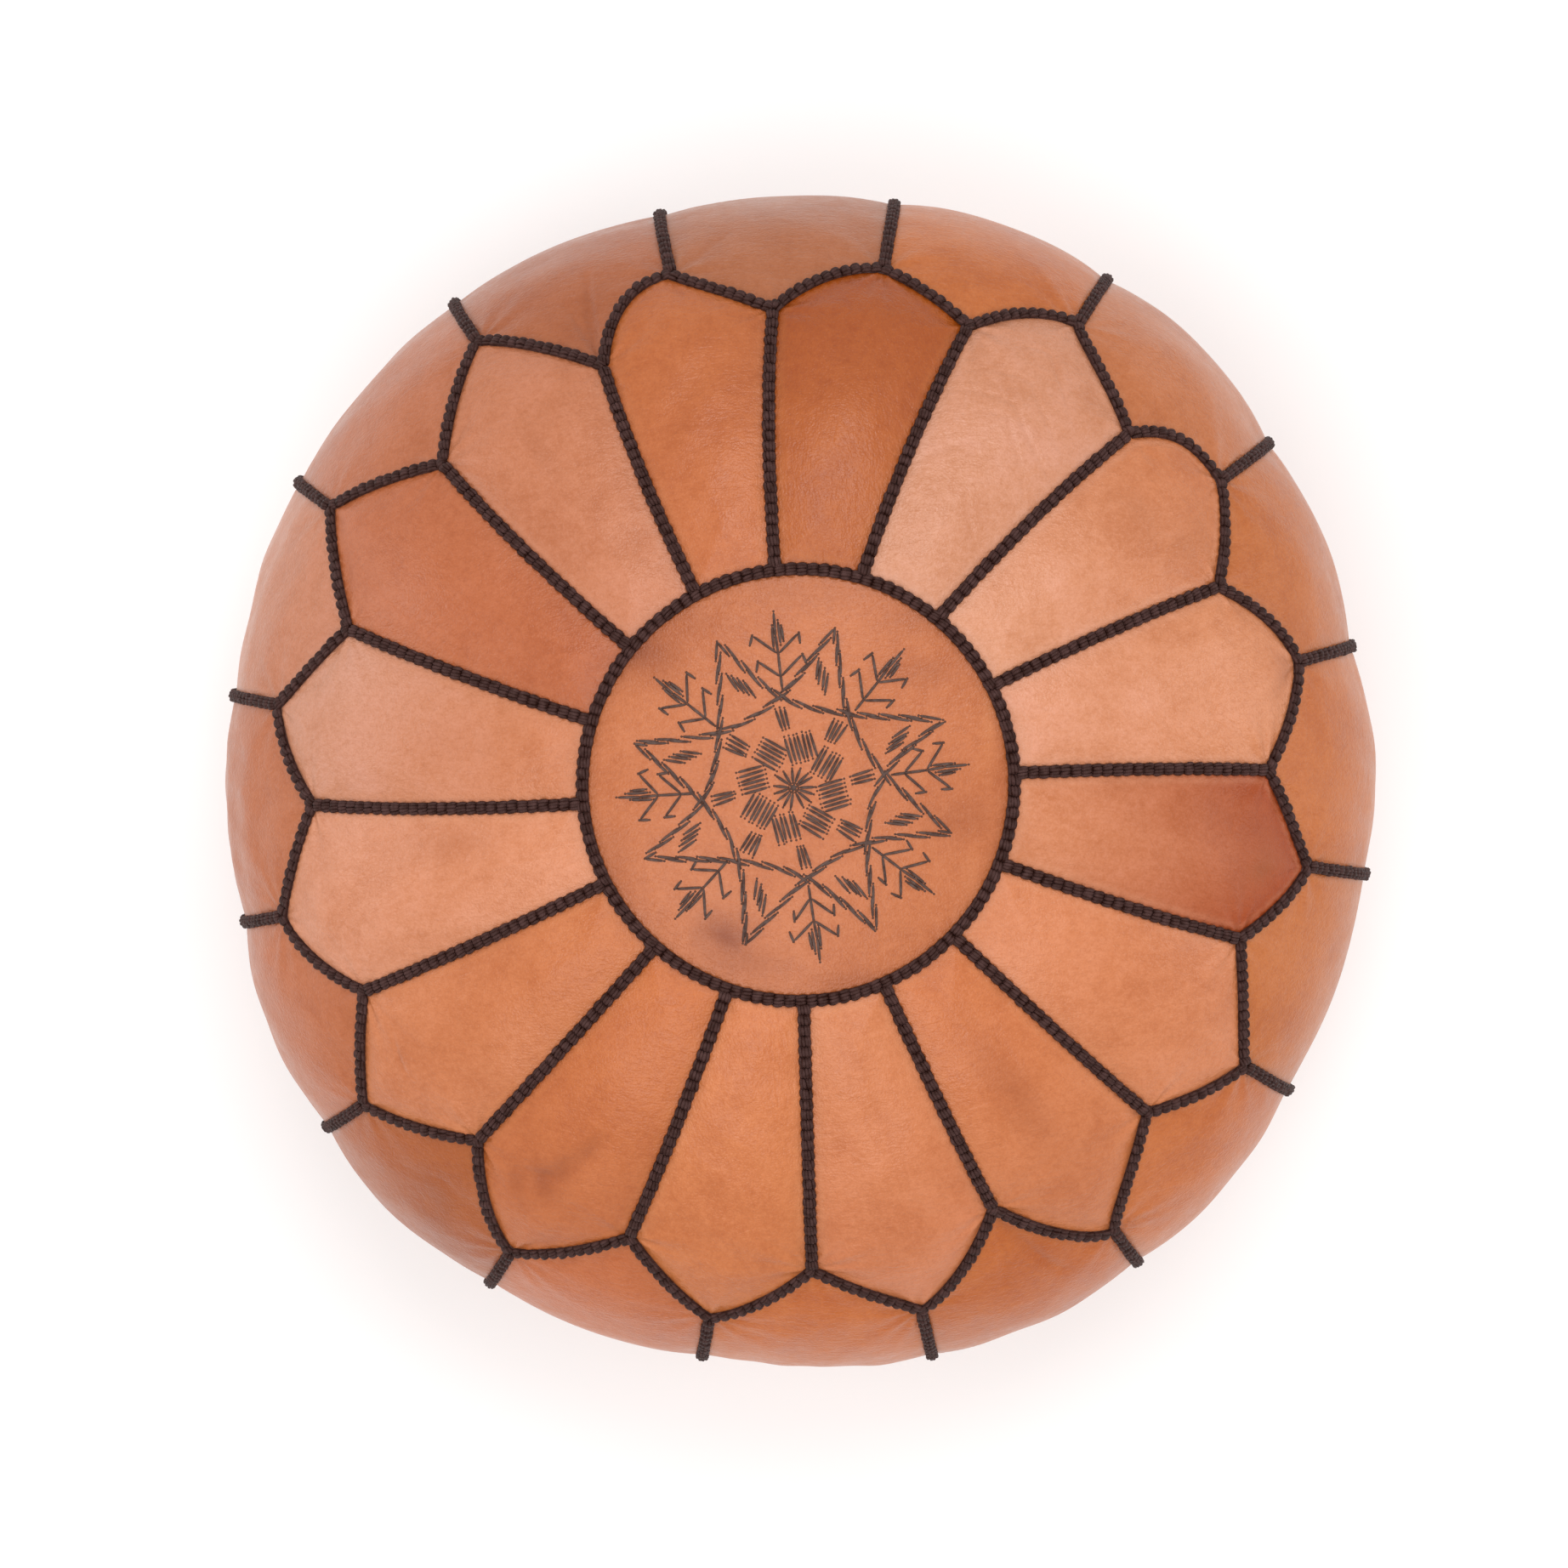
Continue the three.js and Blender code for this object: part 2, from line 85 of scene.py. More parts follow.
# Each sector's hand-cut outline, clockwise: seam and valley drift in degrees, valley radius in mm, tip drift,
# tip radius, drift of the side seam at the base, and the roundness of the first and second shoulder.
CUTS = [
    (3.5, 1.5, 212, 0, 234, -0.5, 1.8, 1.1),
    (3, 0.5, 217, 0.5, 241, -1, 1.7, 0.8),
    (2.5, 0, 214, 0, 234, -0.5, 3, 1.1),
    (2, 1, 208, 0.5, 234, 0, 1.5, 1.3),
    (0.5, 0, 212, 0, 236, -0.5, 0.9, 1.3),
    (-1.5, 1.5, 210, -0.5, 239, -0.5, 0.8, 1.1),
    (-2, 0, 214, -0.5, 248, -0.5, 0.8, 1.5),
    (-2, 0.5, 208, 0, 245, 0, 1.3, 0.9),
    (-1.5, 0, 218, 0, 247, 0, 1.3, 1.1),
    (0.5, 0.5, 217, 0.5, 248, 0.5, 1.2, 1.3),
    (0.5, 1.5, 214, 1, 245, 0.5, 1.1, 1),
    (1.5, 1.5, 216, 1.5, 245, 1, 1.5, 1),
    (2, 1, 221, 1, 243, 1, 1.4, 0.9),
    (2.5, 2, 215, 1.5, 247, 0, 1, 1),
    (3, 1.5, 214, 0.5, 246, -0.5, 1.1, 1.1),
    (3, 1, 205, 1, 236, -0.5, 2.4, 0.8),
]

# ---------------- looks
# Leather tones as screen colours, at each petal's inner and outer end.
PETAL_TONES = [
    ((198, 117, 78), (176, 98, 66)),
    ((226, 160, 128), (216, 149, 117)),
    ((231, 163, 129), (212, 131, 90)),
    ((230, 158, 124), (222, 146, 106)),
    ((227, 153, 117), (172, 88, 51)),
    ((223, 141, 101), (221, 141, 102)),
    ((216, 130, 88), (218, 137, 97)),
    ((224, 142, 101), (216, 134, 96)),
    ((226, 140, 96), (216, 133, 90)),
    ((211, 124, 81), (202, 122, 85)),
    ((212, 128, 86), (218, 140, 102)),
    ((226, 148, 110), (224, 154, 122)),
    ((215, 136, 98), (216, 154, 126)),
    ((197, 116, 83), (198, 121, 89)),
    ((215, 141, 108), (203, 131, 99)),
    ((210, 127, 88), (194, 115, 78)),
]
SIDE_TONES = [
    (186, 120, 90), (206, 126, 86), (204, 130, 94), (204, 126, 86), (207, 126, 84), (206, 126, 84),
    (209, 126, 85), (206, 121, 79), (212, 124, 80), (209, 125, 88), (188, 113, 79), (199, 124, 92),
    (198, 124, 92), (210, 141, 111), (199, 127, 97), (186, 117, 88),
]
MEDALLION_TONE = ((209, 128, 89), (209, 129, 91))
BASE_TONE = (196, 122, 82)
LIGHT_GAIN = 1.36  # how strongly the studio lights the crown
TOP_HAZE = 0.050  # what the leather's gloss adds to every channel on the crown
SIDE_HAZE = 0.054  # and on the shoulder, which is seen at a slant


def linear(screen, haze=TOP_HAZE):
    """The dye that looks like a screen colour under the studio's light."""
    return tuple(((c / 255) ** 2.2 - haze) / LIGHT_GAIN for c in screen)


# ---------------- the cover's surface
def section(latitude):
    """Radius and height of the half section at latitudes in degrees."""
    turn = np.radians(latitude)
    sine = np.maximum(np.sin(turn), 0)
    cosine = np.cos(turn)
    crown = np.asarray(latitude) <= 90
    above = np.maximum(cosine, 0)
    below = np.maximum(-cosine, 0)
    radius = np.where(
        crown, RADIUS * sine ** (2 / CROWN_POWER),
        FLAT_RADIUS + (RADIUS - FLAT_RADIUS) * sine ** (2 / UNDER_POWER),
    )
    height = np.where(
        crown, BELLY_Z + (HEIGHT - BELLY_Z) * above ** (2 / CROWN_POWER),
        BELLY_Z - BELLY_Z * below ** (2 / UNDER_POWER),
    )
    return radius, height


def section_normal(latitude):
    step = 0.25
    r0, z0 = section(np.maximum(latitude - step, 0))
    r1, z1 = section(np.minimum(latitude + step, 180))
    length = np.hypot(r1 - r0, z1 - z0)
    return -(z1 - z0) / length, (r1 - r0) / length


def latitude_at_radius(radius):
    return np.degrees(np.arcsin((radius / RADIUS) ** (CROWN_POWER / 2)))


def latitude_at_height(height):
    return 180 - math.degrees(math.acos((1 - height / BELLY_Z) ** (UNDER_POWER / 2)))


RING_LATITUDE = latitude_at_radius(RING_RADIUS)
BASE_SEAM_LATITUDE = latitude_at_height(BASE_SEAM_Z)

# Broad unevenness of the stuffing: height, waves per metre along X, Y and Z, and phase.
SWELLS = [
    (0.8 * MM, (3.1, -2.2, 1.4), 0.6),
    (0.6 * MM, (-1.7, 4.3, 2.1), 2.1),
    (0.5 * MM, (5.2, 3.6, -3.0), 4.0),
    (0.4 * MM, (-6.4, 5.1, 4.4), 1.2),
    (0.3 * MM, (9.3, -7.7, 6.1), 3.3),
]
SWELL_FLOOR = 70 * MM  # height below which the weight on the base flattens the swells
OVAL = 3.7 * MM  # how far the girth is drawn in along X, and let out along Y
SQUARE = 2.0 * MM  # how far it is let out towards the four diagonals
FULL = 2.7 * MM  # how far the filling pushes the girth out all round
HEAVY = 2.6 * MM  # and how much further on the side that it has settled to
HEAVY_DEG = 275


def swell(points, angle, out):
    """Unevenness along the normal, whose outward share is out."""
    total = out * (-OVAL * np.cos(2 * angle) - SQUARE * np.cos(4 * angle))
    total = total + out**4 * (FULL + HEAVY * np.cos(angle - math.radians(HEAVY_DEG)))
    for height, waves, phase in SWELLS:
        total = total + height * np.sin(2 * np.pi * (points @ np.array(waves)) + phase)
    return total * np.clip(points[..., 2] / SWELL_FLOOR, 0, 1) ** 2


def surface(angle, latitude, lift=0.0):
    """Points on the cover, lifted along its normal."""
    angle = np.radians(angle)
    radius, height = section(latitude)
    out, up = section_normal(latitude)
    cosine, sine = np.cos(angle), np.sin(angle)
    here = np.stack([radius * cosine, radius * sine, height], axis=-1)
    normal = np.stack([out * cosine, out * sine, up + 0 * angle], axis=-1)
    return here + normal * (swell(here, angle, out) + lift)[..., None]


def lerp(a, b, share):
    return a + (b - a) * share


def unit(vectors):
    return vectors / np.linalg.norm(vectors, axis=-1, keepdims=True)


def lengths_along(line):
    """The length along a line of points, at each of them."""
    return np.concatenate([[0], np.cumsum(np.linalg.norm(np.diff(line, axis=0), axis=1))])


def cut_of(k):
    """Sector k's outline, k running on past the last sector, so that angles never jump by a turn."""
    seam, valley, valley_mm, tip, tip_mm, foot, first, second = CUTS[k % SECTORS]
    turn = PITCH_DEG * k
    return {
        "seam": SEAM_START_DEG - turn + seam,
        "valley": VALLEY_START_DEG - turn + valley,
        "valley_radius": valley_mm * MM,
        "tip": TIP_START_DEG - turn + tip,
        "tip_radius": tip_mm * MM,
        "foot": TIP_START_DEG - turn + foot,
        "shoulders": (first, second),
    }


def corner(cut, which):
    """The place of an outline's valley or tip."""
    return cut[which], latitude_at_radius(cut[which + "_radius"])


def scallop_place(k, u):
    """Places on petal k's outer edge, clockwise: u is 0 and 1 at its valleys, and 0.5 at its tip."""
    here, following = cut_of(k), cut_of(k + 1)
    second = u > 0.5
    towards_tip = np.where(second, 2 - 2 * u, 2 * u)
    valley_angle = np.where(second, following["valley"], here["valley"])
    valley_radius = np.where(second, following["valley_radius"], here["valley_radius"])
    roundness = np.where(second, here["shoulders"][1], here["shoulders"][0])
    rise = 1 - (1 - towards_tip) ** roundness
    angle = lerp(valley_angle, here["tip"], towards_tip)
    return angle, latitude_at_radius(lerp(valley_radius, here["tip_radius"], rise))


def petal_place(k, u, v):
    outer_angle, outer_latitude = scallop_place(k, u)
    inner_angle = lerp(cut_of(k)["seam"], cut_of(k + 1)["seam"], u)
    return lerp(inner_angle, outer_angle, v), lerp(RING_LATITUDE, outer_latitude, v)


def side_place(k, u, v):
    """Side panel k hangs from valley k, between the side seams of petals k - 1 and k."""
    before_angle, before_latitude = scallop_place(k - 1, np.minimum(u, 0.5) + 0.5)
    here_angle, here_latitude = scallop_place(k, np.maximum(u, 0.5) - 0.5)
    first = u < 0.5
    upper_angle = np.where(first, before_angle, here_angle)
    upper_latitude = np.where(first, before_latitude, here_latitude)
    lower_angle = lerp(cut_of(k - 1)["foot"], cut_of(k)["foot"], u)
    return lerp(upper_angle, lower_angle, v), lerp(upper_latitude, BASE_SEAM_LATITUDE, v)


# ---------------- mesh helpers
def new_object(name, points, polygon_sets, uv=None, attributes=None, smooth=True):
    """A mesh object from points (n, 3) and arrays of polygons, with per-point uv and float attributes."""
    mesh = bpy.data.meshes.new(name)
    loops = np.concatenate([p.ravel() for p in polygon_sets]).astype(np.int32)
    sizes = np.concatenate([np.full(len(p), p.shape[1]) for p in polygon_sets])
    starts = np.concatenate([[0], np.cumsum(sizes)[:-1]]).astype(np.int32)
    mesh.vertices.add(len(points))
    mesh.loops.add(len(loops))
    mesh.polygons.add(len(sizes))
    for items, key, values in (
        (mesh.vertices, "co", np.asarray(points, dtype=np.float32)), (mesh.loops, "vertex_index", loops),
        (mesh.polygons, "loop_start", starts), (mesh.polygons, "use_smooth", np.full(len(sizes), smooth)),
    ):
        items.foreach_set(key, values.ravel())
    if uv is not None:
        layer = mesh.uv_layers.new(name="UVMap")
        layer.data.foreach_set("uv", np.asarray(uv, dtype=np.float32)[loops].ravel())
    for key, values in (attributes or {}).items():
        data = mesh.attributes.new(key, "FLOAT", "POINT").data
        data.foreach_set("value", np.asarray(values, dtype=np.float32).ravel())
    mesh.update(calc_edges=True)
    mesh.validate()
    obj = bpy.data.objects.new(name, mesh)
    bpy.context.scene.collection.objects.link(obj)
    return obj


def faces(*corners):
    """Polygons from an array of point numbers for each of their corners."""
    return np.stack(corners, axis=-1).reshape(-1, len(corners))


def shell(name, outer, uv, attributes):
    """A closed leather shell: the outer grid, the same grid moved inwards, and a rim that joins them."""
    rows, columns = outer.shape[:2]
    inner = outer - unit(np.cross(np.gradient(outer, axis=1), np.gradient(outer, axis=0))) * SKIN
    index = np.arange(rows * columns).reshape(rows, columns)
    face = faces(index[:-1, :-1], index[:-1, 1:], index[1:, 1:], index[1:, :-1])
    rim = np.concatenate([index[0, :-1], index[:-1, -1], index[-1, :0:-1], index[:0:-1, 0]])
    following = np.roll(rim, -1)
    inside = rows * columns
    wall = faces(rim + inside, following + inside, following, rim)
    points = np.concatenate([outer.reshape(-1, 3), inner.reshape(-1, 3)])
    both = {key: np.tile(values.ravel(), 2) for key, values in attributes.items()}
    polygons = [face, face[:, ::-1] + inside, wall]
    return new_object(name, points, polygons, np.tile(uv.reshape(-1, 2), (2, 1)), both)


def tubes(line, side, radius, sides, u):
    """Rings of points round lines (count, steps, 3), and their uv. side lies roughly across each line."""
    along = unit(np.gradient(line, axis=1))
    out = unit(np.cross(along, side))
    beside = np.cross(out, along)
    turn = np.arange(sides) * 2 * np.pi / sides
    ring = beside[..., None, :] * np.cos(turn)[:, None] + out[..., None, :] * np.sin(turn)[:, None]
    points = line[..., None, :] + ring * radius
    u = np.broadcast_to(u[..., None], points.shape[:-1])
    return points, np.stack([u, np.broadcast_to(turn / (2 * np.pi), u.shape)], axis=-1)


def tube_polygons(count, steps, sides, flipped=False):
    """Quads and end caps of count tubes, each of steps rings with sides points."""
    index = np.arange(count * steps * sides).reshape(count, steps, sides)
    following = np.roll(index, -1, axis=2)
    quads = faces(index[:, :-1], following[:, :-1], following[:, 1:], index[:, 1:])
    made = [quads, index[:, 0, ::-1], index[:, -1]]
    return [p[:, ::-1] for p in made] if flipped else made


def ring_polygons(points, closed=False):
    """Polygons of one skin over rings of points (rings, sides, 3), with end caps where it isn't closed."""
    index = np.arange(points[..., 0].size).reshape(points.shape[:2])
    here, ahead = (index, np.roll(index, -1, axis=0)) if closed else (index[:-1], index[1:])
    quads = faces(here, ahead, np.roll(ahead, -1, axis=1), np.roll(here, -1, axis=1))
    return [quads] if closed else [quads, index[:1], index[-1:, ::-1]]


def round_edges(obj, width):
    bevel = obj.modifiers.new("rounded edges", "BEVEL")
    bevel.width = width
    bevel.segments = 2
    bevel.limit_method = "ANGLE"


# ---------------- leather panels
MARGIN_WIDTH, MARGIN_LENGTH = 60 * MM, 150 * MM  # a panel's usual size, for its share of the seam gap
SEAM_DIP = 1.6 * MM  # how far the leather is drawn in at a seam
STITCH = 4.8 * MM  # length of one stitch along a braid
PULL = 0.16 * MM  # height of the waves that single stitches pull up, and how far they reach
PULL_REACH = 3.2 * MM
DOME_POWER = 2.4  # how full a panel is between its seams
CREASE_REACH = 17 * MM  # of the small folds at the corners
CREASE_START = 6 * MM
UNEVEN = 0.22 * MM  # height of the long waves in each panel
GATHER_TOP = 0.1 * MM  # height of each wave of the gathers along a seam, on the crown
GATHER_FOOT = 0.5 * MM  # and low on the sides
SLUMP = 1.6 * MM  # height of the folds low on the sides
SLUMP_Z = 48 * MM  # where they are, over what half height, and how far apart
SLUMP_HALF_HEIGHT = 26 * MM
SLUMP_PITCH = 21 * MM
PAINTED_EDGE_SHEEN = 0.2  # strength of a painted sheen: a paler band painted where the leather rolls over the seam's turned edge
PAINTED_EDGE_SHEEN_PLACE = 5 * MM
PAINTED_EDGE_SHEEN_WIDTH = 1.8 * MM
rng = np.random.default_rng(16)  # for the stitches of the embroidery and of the base


def nearest_edge(points, edge):
    """Distance from each point to an outline of points, and the length along the outline at the nearest."""
    along = lengths_along(edge)
    distance = np.empty(len(points))
    place = np.empty(len(points))
    for start in range(0, len(points), 2000):
        part = points[start : start + 2000]
        gap = np.linalg.norm(part[:, None] - edge[None], axis=-1)
        nearest = gap.argmin(axis=1)
        distance[start : start + 2000] = gap[np.arange(len(part)), nearest]
        place[start : start + 2000] = along[nearest]
    return distance, place


def creases(points, corners, distance, seed):
    """Small folds that fan out from the corners where seams pull on the leather."""
    random = np.random.default_rng(seed)
    total = np.zeros(len(points))
    for corner in corners:
        away = points - corner
        reach = np.linalg.norm(away, axis=1)
        normal = unit(corner)
        side = unit(np.cross(normal, (0, 0, 1.0)))
        other = np.cross(normal, side)
        turn = np.arctan2(away @ other, away @ side)
        height = random.uniform(0.35, 0.9) * MM
        folds = random.integers(7, 12)
        wave = np.sin(folds * turn + random.uniform(0, 6) + 0.8 * np.sin(3 * turn + random.uniform(0, 6)))
        total += height * wave * np.exp(-reach / CREASE_REACH) * np.clip(reach / CREASE_START, 0, 1)
    return total * (1 - np.exp(-distance / (2.5 * MM)))


def gathers(points, length, distance, seed):
    """Gathers that run in from the seams, where the stitches draw the leather together, deeper low down."""
    random = np.random.default_rng(seed)
    total = np.zeros(len(length))
    for wave in (19 * MM, 31 * MM, 47 * MM):
        total += np.sin(2 * np.pi * length / wave + random.uniform(0, 6) + 2 * np.sin(length / (70 * MM)))
    reach = 1 + 0.5 * np.sin(length / (37 * MM) + random.uniform(0, 6))
    height = GATHER_TOP + (GATHER_FOOT - GATHER_TOP) * np.clip((240 * MM - points[:, 2]) / (110 * MM), 0, 1)
    return height * total * np.exp(-distance / (14 * MM * reach)) * np.clip(distance / (4 * MM), 0, 1)


def pull(length, distance):
    """Waves beside a seam, one to each stitch that pulls on the leather."""
    return PULL * np.cos(2 * np.pi * length / STITCH) * np.exp(-distance / PULL_REACH)


def slump(points, seed):
    """Soft level folds low on the side, where the weight of the filling settles."""
    random = np.random.default_rng(seed)
    height = points[:, 2]
    around = np.arctan2(points[:, 1], points[:, 0])
    low = np.exp(-(((height - SLUMP_Z) / SLUMP_HALF_HEIGHT) ** 2))
    waver = 5 * MM * np.sin(7 * around + random.uniform(0, 6)) + 2 * MM * np.sin(19 * around)
    share = 0.5 + 0.5 * np.sin(5 * around + random.uniform(0, 6))
    return SLUMP * low * share * np.sin(2 * np.pi * (height + waver) / SLUMP_PITCH)


def marks(a, b, spots):
    """Soft marks over coordinates a and b. A spot has its place, its half sizes and its strength."""
    total = np.zeros_like(a)
    for centre_a, centre_b, half_a, half_b, strength in spots:
        total += strength * np.exp(-(((a - centre_a) / half_a) ** 2 + ((b - centre_b) / half_b) ** 2))
    return total


def dye_and_painted_light_guides(seam, dyed_and_painted_marks, painted_sheen, along):
    """What the colour follows at each point: painted shade by the seams, dark marks, painted sheen and the
    share along. Marks below nought are paler and go to the painted sheen.
    """
    painted_sheen = painted_sheen + np.maximum(-dyed_and_painted_marks, 0)
    return {"seam": seam, "dyed_and_painted_marks": np.maximum(dyed_and_painted_marks, 0), "painted_sheen": painted_sheen, "along": along}


def fold_depth(points, place, fold):
    """How far a listed fold draws points in. A fold runs from one place in the panel to another."""
    start_u, start_v, stop_u, stop_v, bow, depth, width = fold
    share = np.linspace(0, 1, 48)
    arc = bow * 4 * share * (1 - share)
    line = surface(*place(lerp(start_u, stop_u, share) + arc * 0.3, lerp(start_v, stop_v, share) + arc))
    distance, length = nearest_edge(points, line)
    fade = np.sin(np.pi * np.clip(length / max(length.max(), MM), 0.02, 0.98)) ** 0.6
    return depth * MM * fade * np.exp(-((distance / (width * MM)) ** 2))


def panel(name, place, size, puff, seed, corners, dyed_and_painted_spots=(), folds=()):
    """One leather panel, domed between its seams. size is its grid (across, along); corners are places."""
    across, along = size
    margin_u, margin_v = SEAM_GAP / 2 / MARGIN_WIDTH, SEAM_GAP / 2 / MARGIN_LENGTH
    u, v = np.meshgrid(
        np.linspace(margin_u, 1 - margin_u, across + 1), np.linspace(margin_v, 1 - margin_v, along + 1)
    )
    angle, latitude = place(u, v)
    flat = surface(angle, latitude).reshape(-1, 3)
    line = np.linspace(0, 1, 160)
    zero, one = np.zeros_like(line), np.ones_like(line)
    sides = ((line, zero), (one, line), (line[::-1], one), (zero, line[::-1]))
    edge = np.concatenate([surface(*place(*side)) for side in sides])
    distance, length = nearest_edge(flat, edge)
    reach = distance.max()
    dome = 1 - (1 - distance / reach) ** DOME_POWER
    lift = -SEAM_DIP + puff * dome
    lift += pull(length, distance)
    corner_points = [surface(np.array(a), np.array(b)) for a, b in corners]
    lift += creases(flat, corner_points, distance, seed)
    lift += gathers(flat, length, distance, seed + 700)
    lift += slump(flat, 900) * dome
    random = np.random.default_rng(seed + 500)
    for _ in range(5):
        waves = random.normal(0, 14, 3)
        lift += UNEVEN * np.sin(2 * np.pi * (flat @ waves) + random.uniform(0, 6)) * dome
    for fold in folds:
        lift -= fold_depth(flat, place, fold)
    grid = surface(angle, latitude, lift.reshape(angle.shape))
    # Dark marks: stains, and on some panels painted shade along the folds.
    dyed_and_painted_marks = marks(u, v, dyed_and_painted_spots)
    width = 2 * np.pi * RADIUS / SECTORS
    uv = np.stack([u * width, v * width * along / across], axis=-1)
    distance = distance.reshape(u.shape)
    # Painted sheen: a paler band painted a few mm in from every seam, standing for the highlight on the
    # rolled edge.
    painted_edge_sheen = PAINTED_EDGE_SHEEN * np.exp(-(((distance - PAINTED_EDGE_SHEEN_PLACE) / PAINTED_EDGE_SHEEN_WIDTH) ** 2))
    # The first guide paints shade: the leather darkens within a few mm of each seam, beside the braid.
    return shell(name, grid, uv, dye_and_painted_light_guides(np.exp(-distance / (3 * MM)), dyed_and_painted_marks, painted_edge_sheen, v))


# ---------------- materials
class Tree:
    """Short names for building a material's node tree."""

    def __init__(self, name):
        self.material = bpy.data.materials.new(name)
        self.material.use_nodes = True
        self.tree = self.material.node_tree
        self.shader = self.tree.nodes["Principled BSDF"]

    def set(self, socket, value):
        if isinstance(value, bpy.types.NodeSocket):
            self.tree.links.new(value, socket)
        else:
            socket.default_value = value

    def node(self, kind, output=0, settings=None, **inputs):
        """A node's output. Inputs go by name, with _ for a space, or by i and their number."""
        made = self.tree.nodes.new(kind)
        for key, value in (settings or {}).items():
            setattr(made, key, value)
        for key, value in inputs.items():
            numbered = key[0] == "i" and key[1:].isdigit()
            self.set(made.inputs[int(key[1:]) if numbered else key.replace("_", " ")], value)
        return made.outputs[output]

    def math(self, operation, a, b=0.0, clamp=False):
        return self.node("ShaderNodeMath", settings={"operation": operation, "use_clamp": clamp}, i0=a, i1=b)

    def object_coordinates(self):
        return self.node("ShaderNodeTexCoord", "Object")

    def uv(self, scale):
        return self.node("ShaderNodeMapping", i0=self.node("ShaderNodeTexCoord", "UV"), Scale=scale)

    def noise(self, vector, scale, detail=3.0, roughness=0.5, distortion=0.0):
        return self.node(
            "ShaderNodeTexNoise", Vector=vector, Scale=scale, Detail=detail, Roughness=roughness,
            Distortion=distortion,
        )

    def spread(self, value, low, high, to_low=0.0, to_high=1.0):
        """value mapped from low..high to to_low..to_high, and held inside it."""
        return self.node(
            "ShaderNodeMapRange", Value=value, From_Min=low, From_Max=high, To_Min=to_low, To_Max=to_high
        )

    def mix(self, share, a, b):
        return self.node("ShaderNodeMix", 2, {"data_type": "RGBA"}, i0=share, i6=a, i7=b)

    def attribute(self, name):
        return self.node("ShaderNodeAttribute", "Fac", {"attribute_name": name})

    def bump(self, height, strength, distance, **under):
        return self.node("ShaderNodeBump", Height=height, Strength=strength, Distance=distance, **under)

    def finished(self, **inputs):
        """The material, with its shader's inputs set, _ standing for a space."""
        for key, value in inputs.items():
            self.set(self.shader.inputs[key.replace("_", " ")], value)
        return self.material


def rgba(colour, gain=(1, 1, 1)):
    return tuple(min(c * g, 1) for c, g in zip(colour, gain)) + (1,)


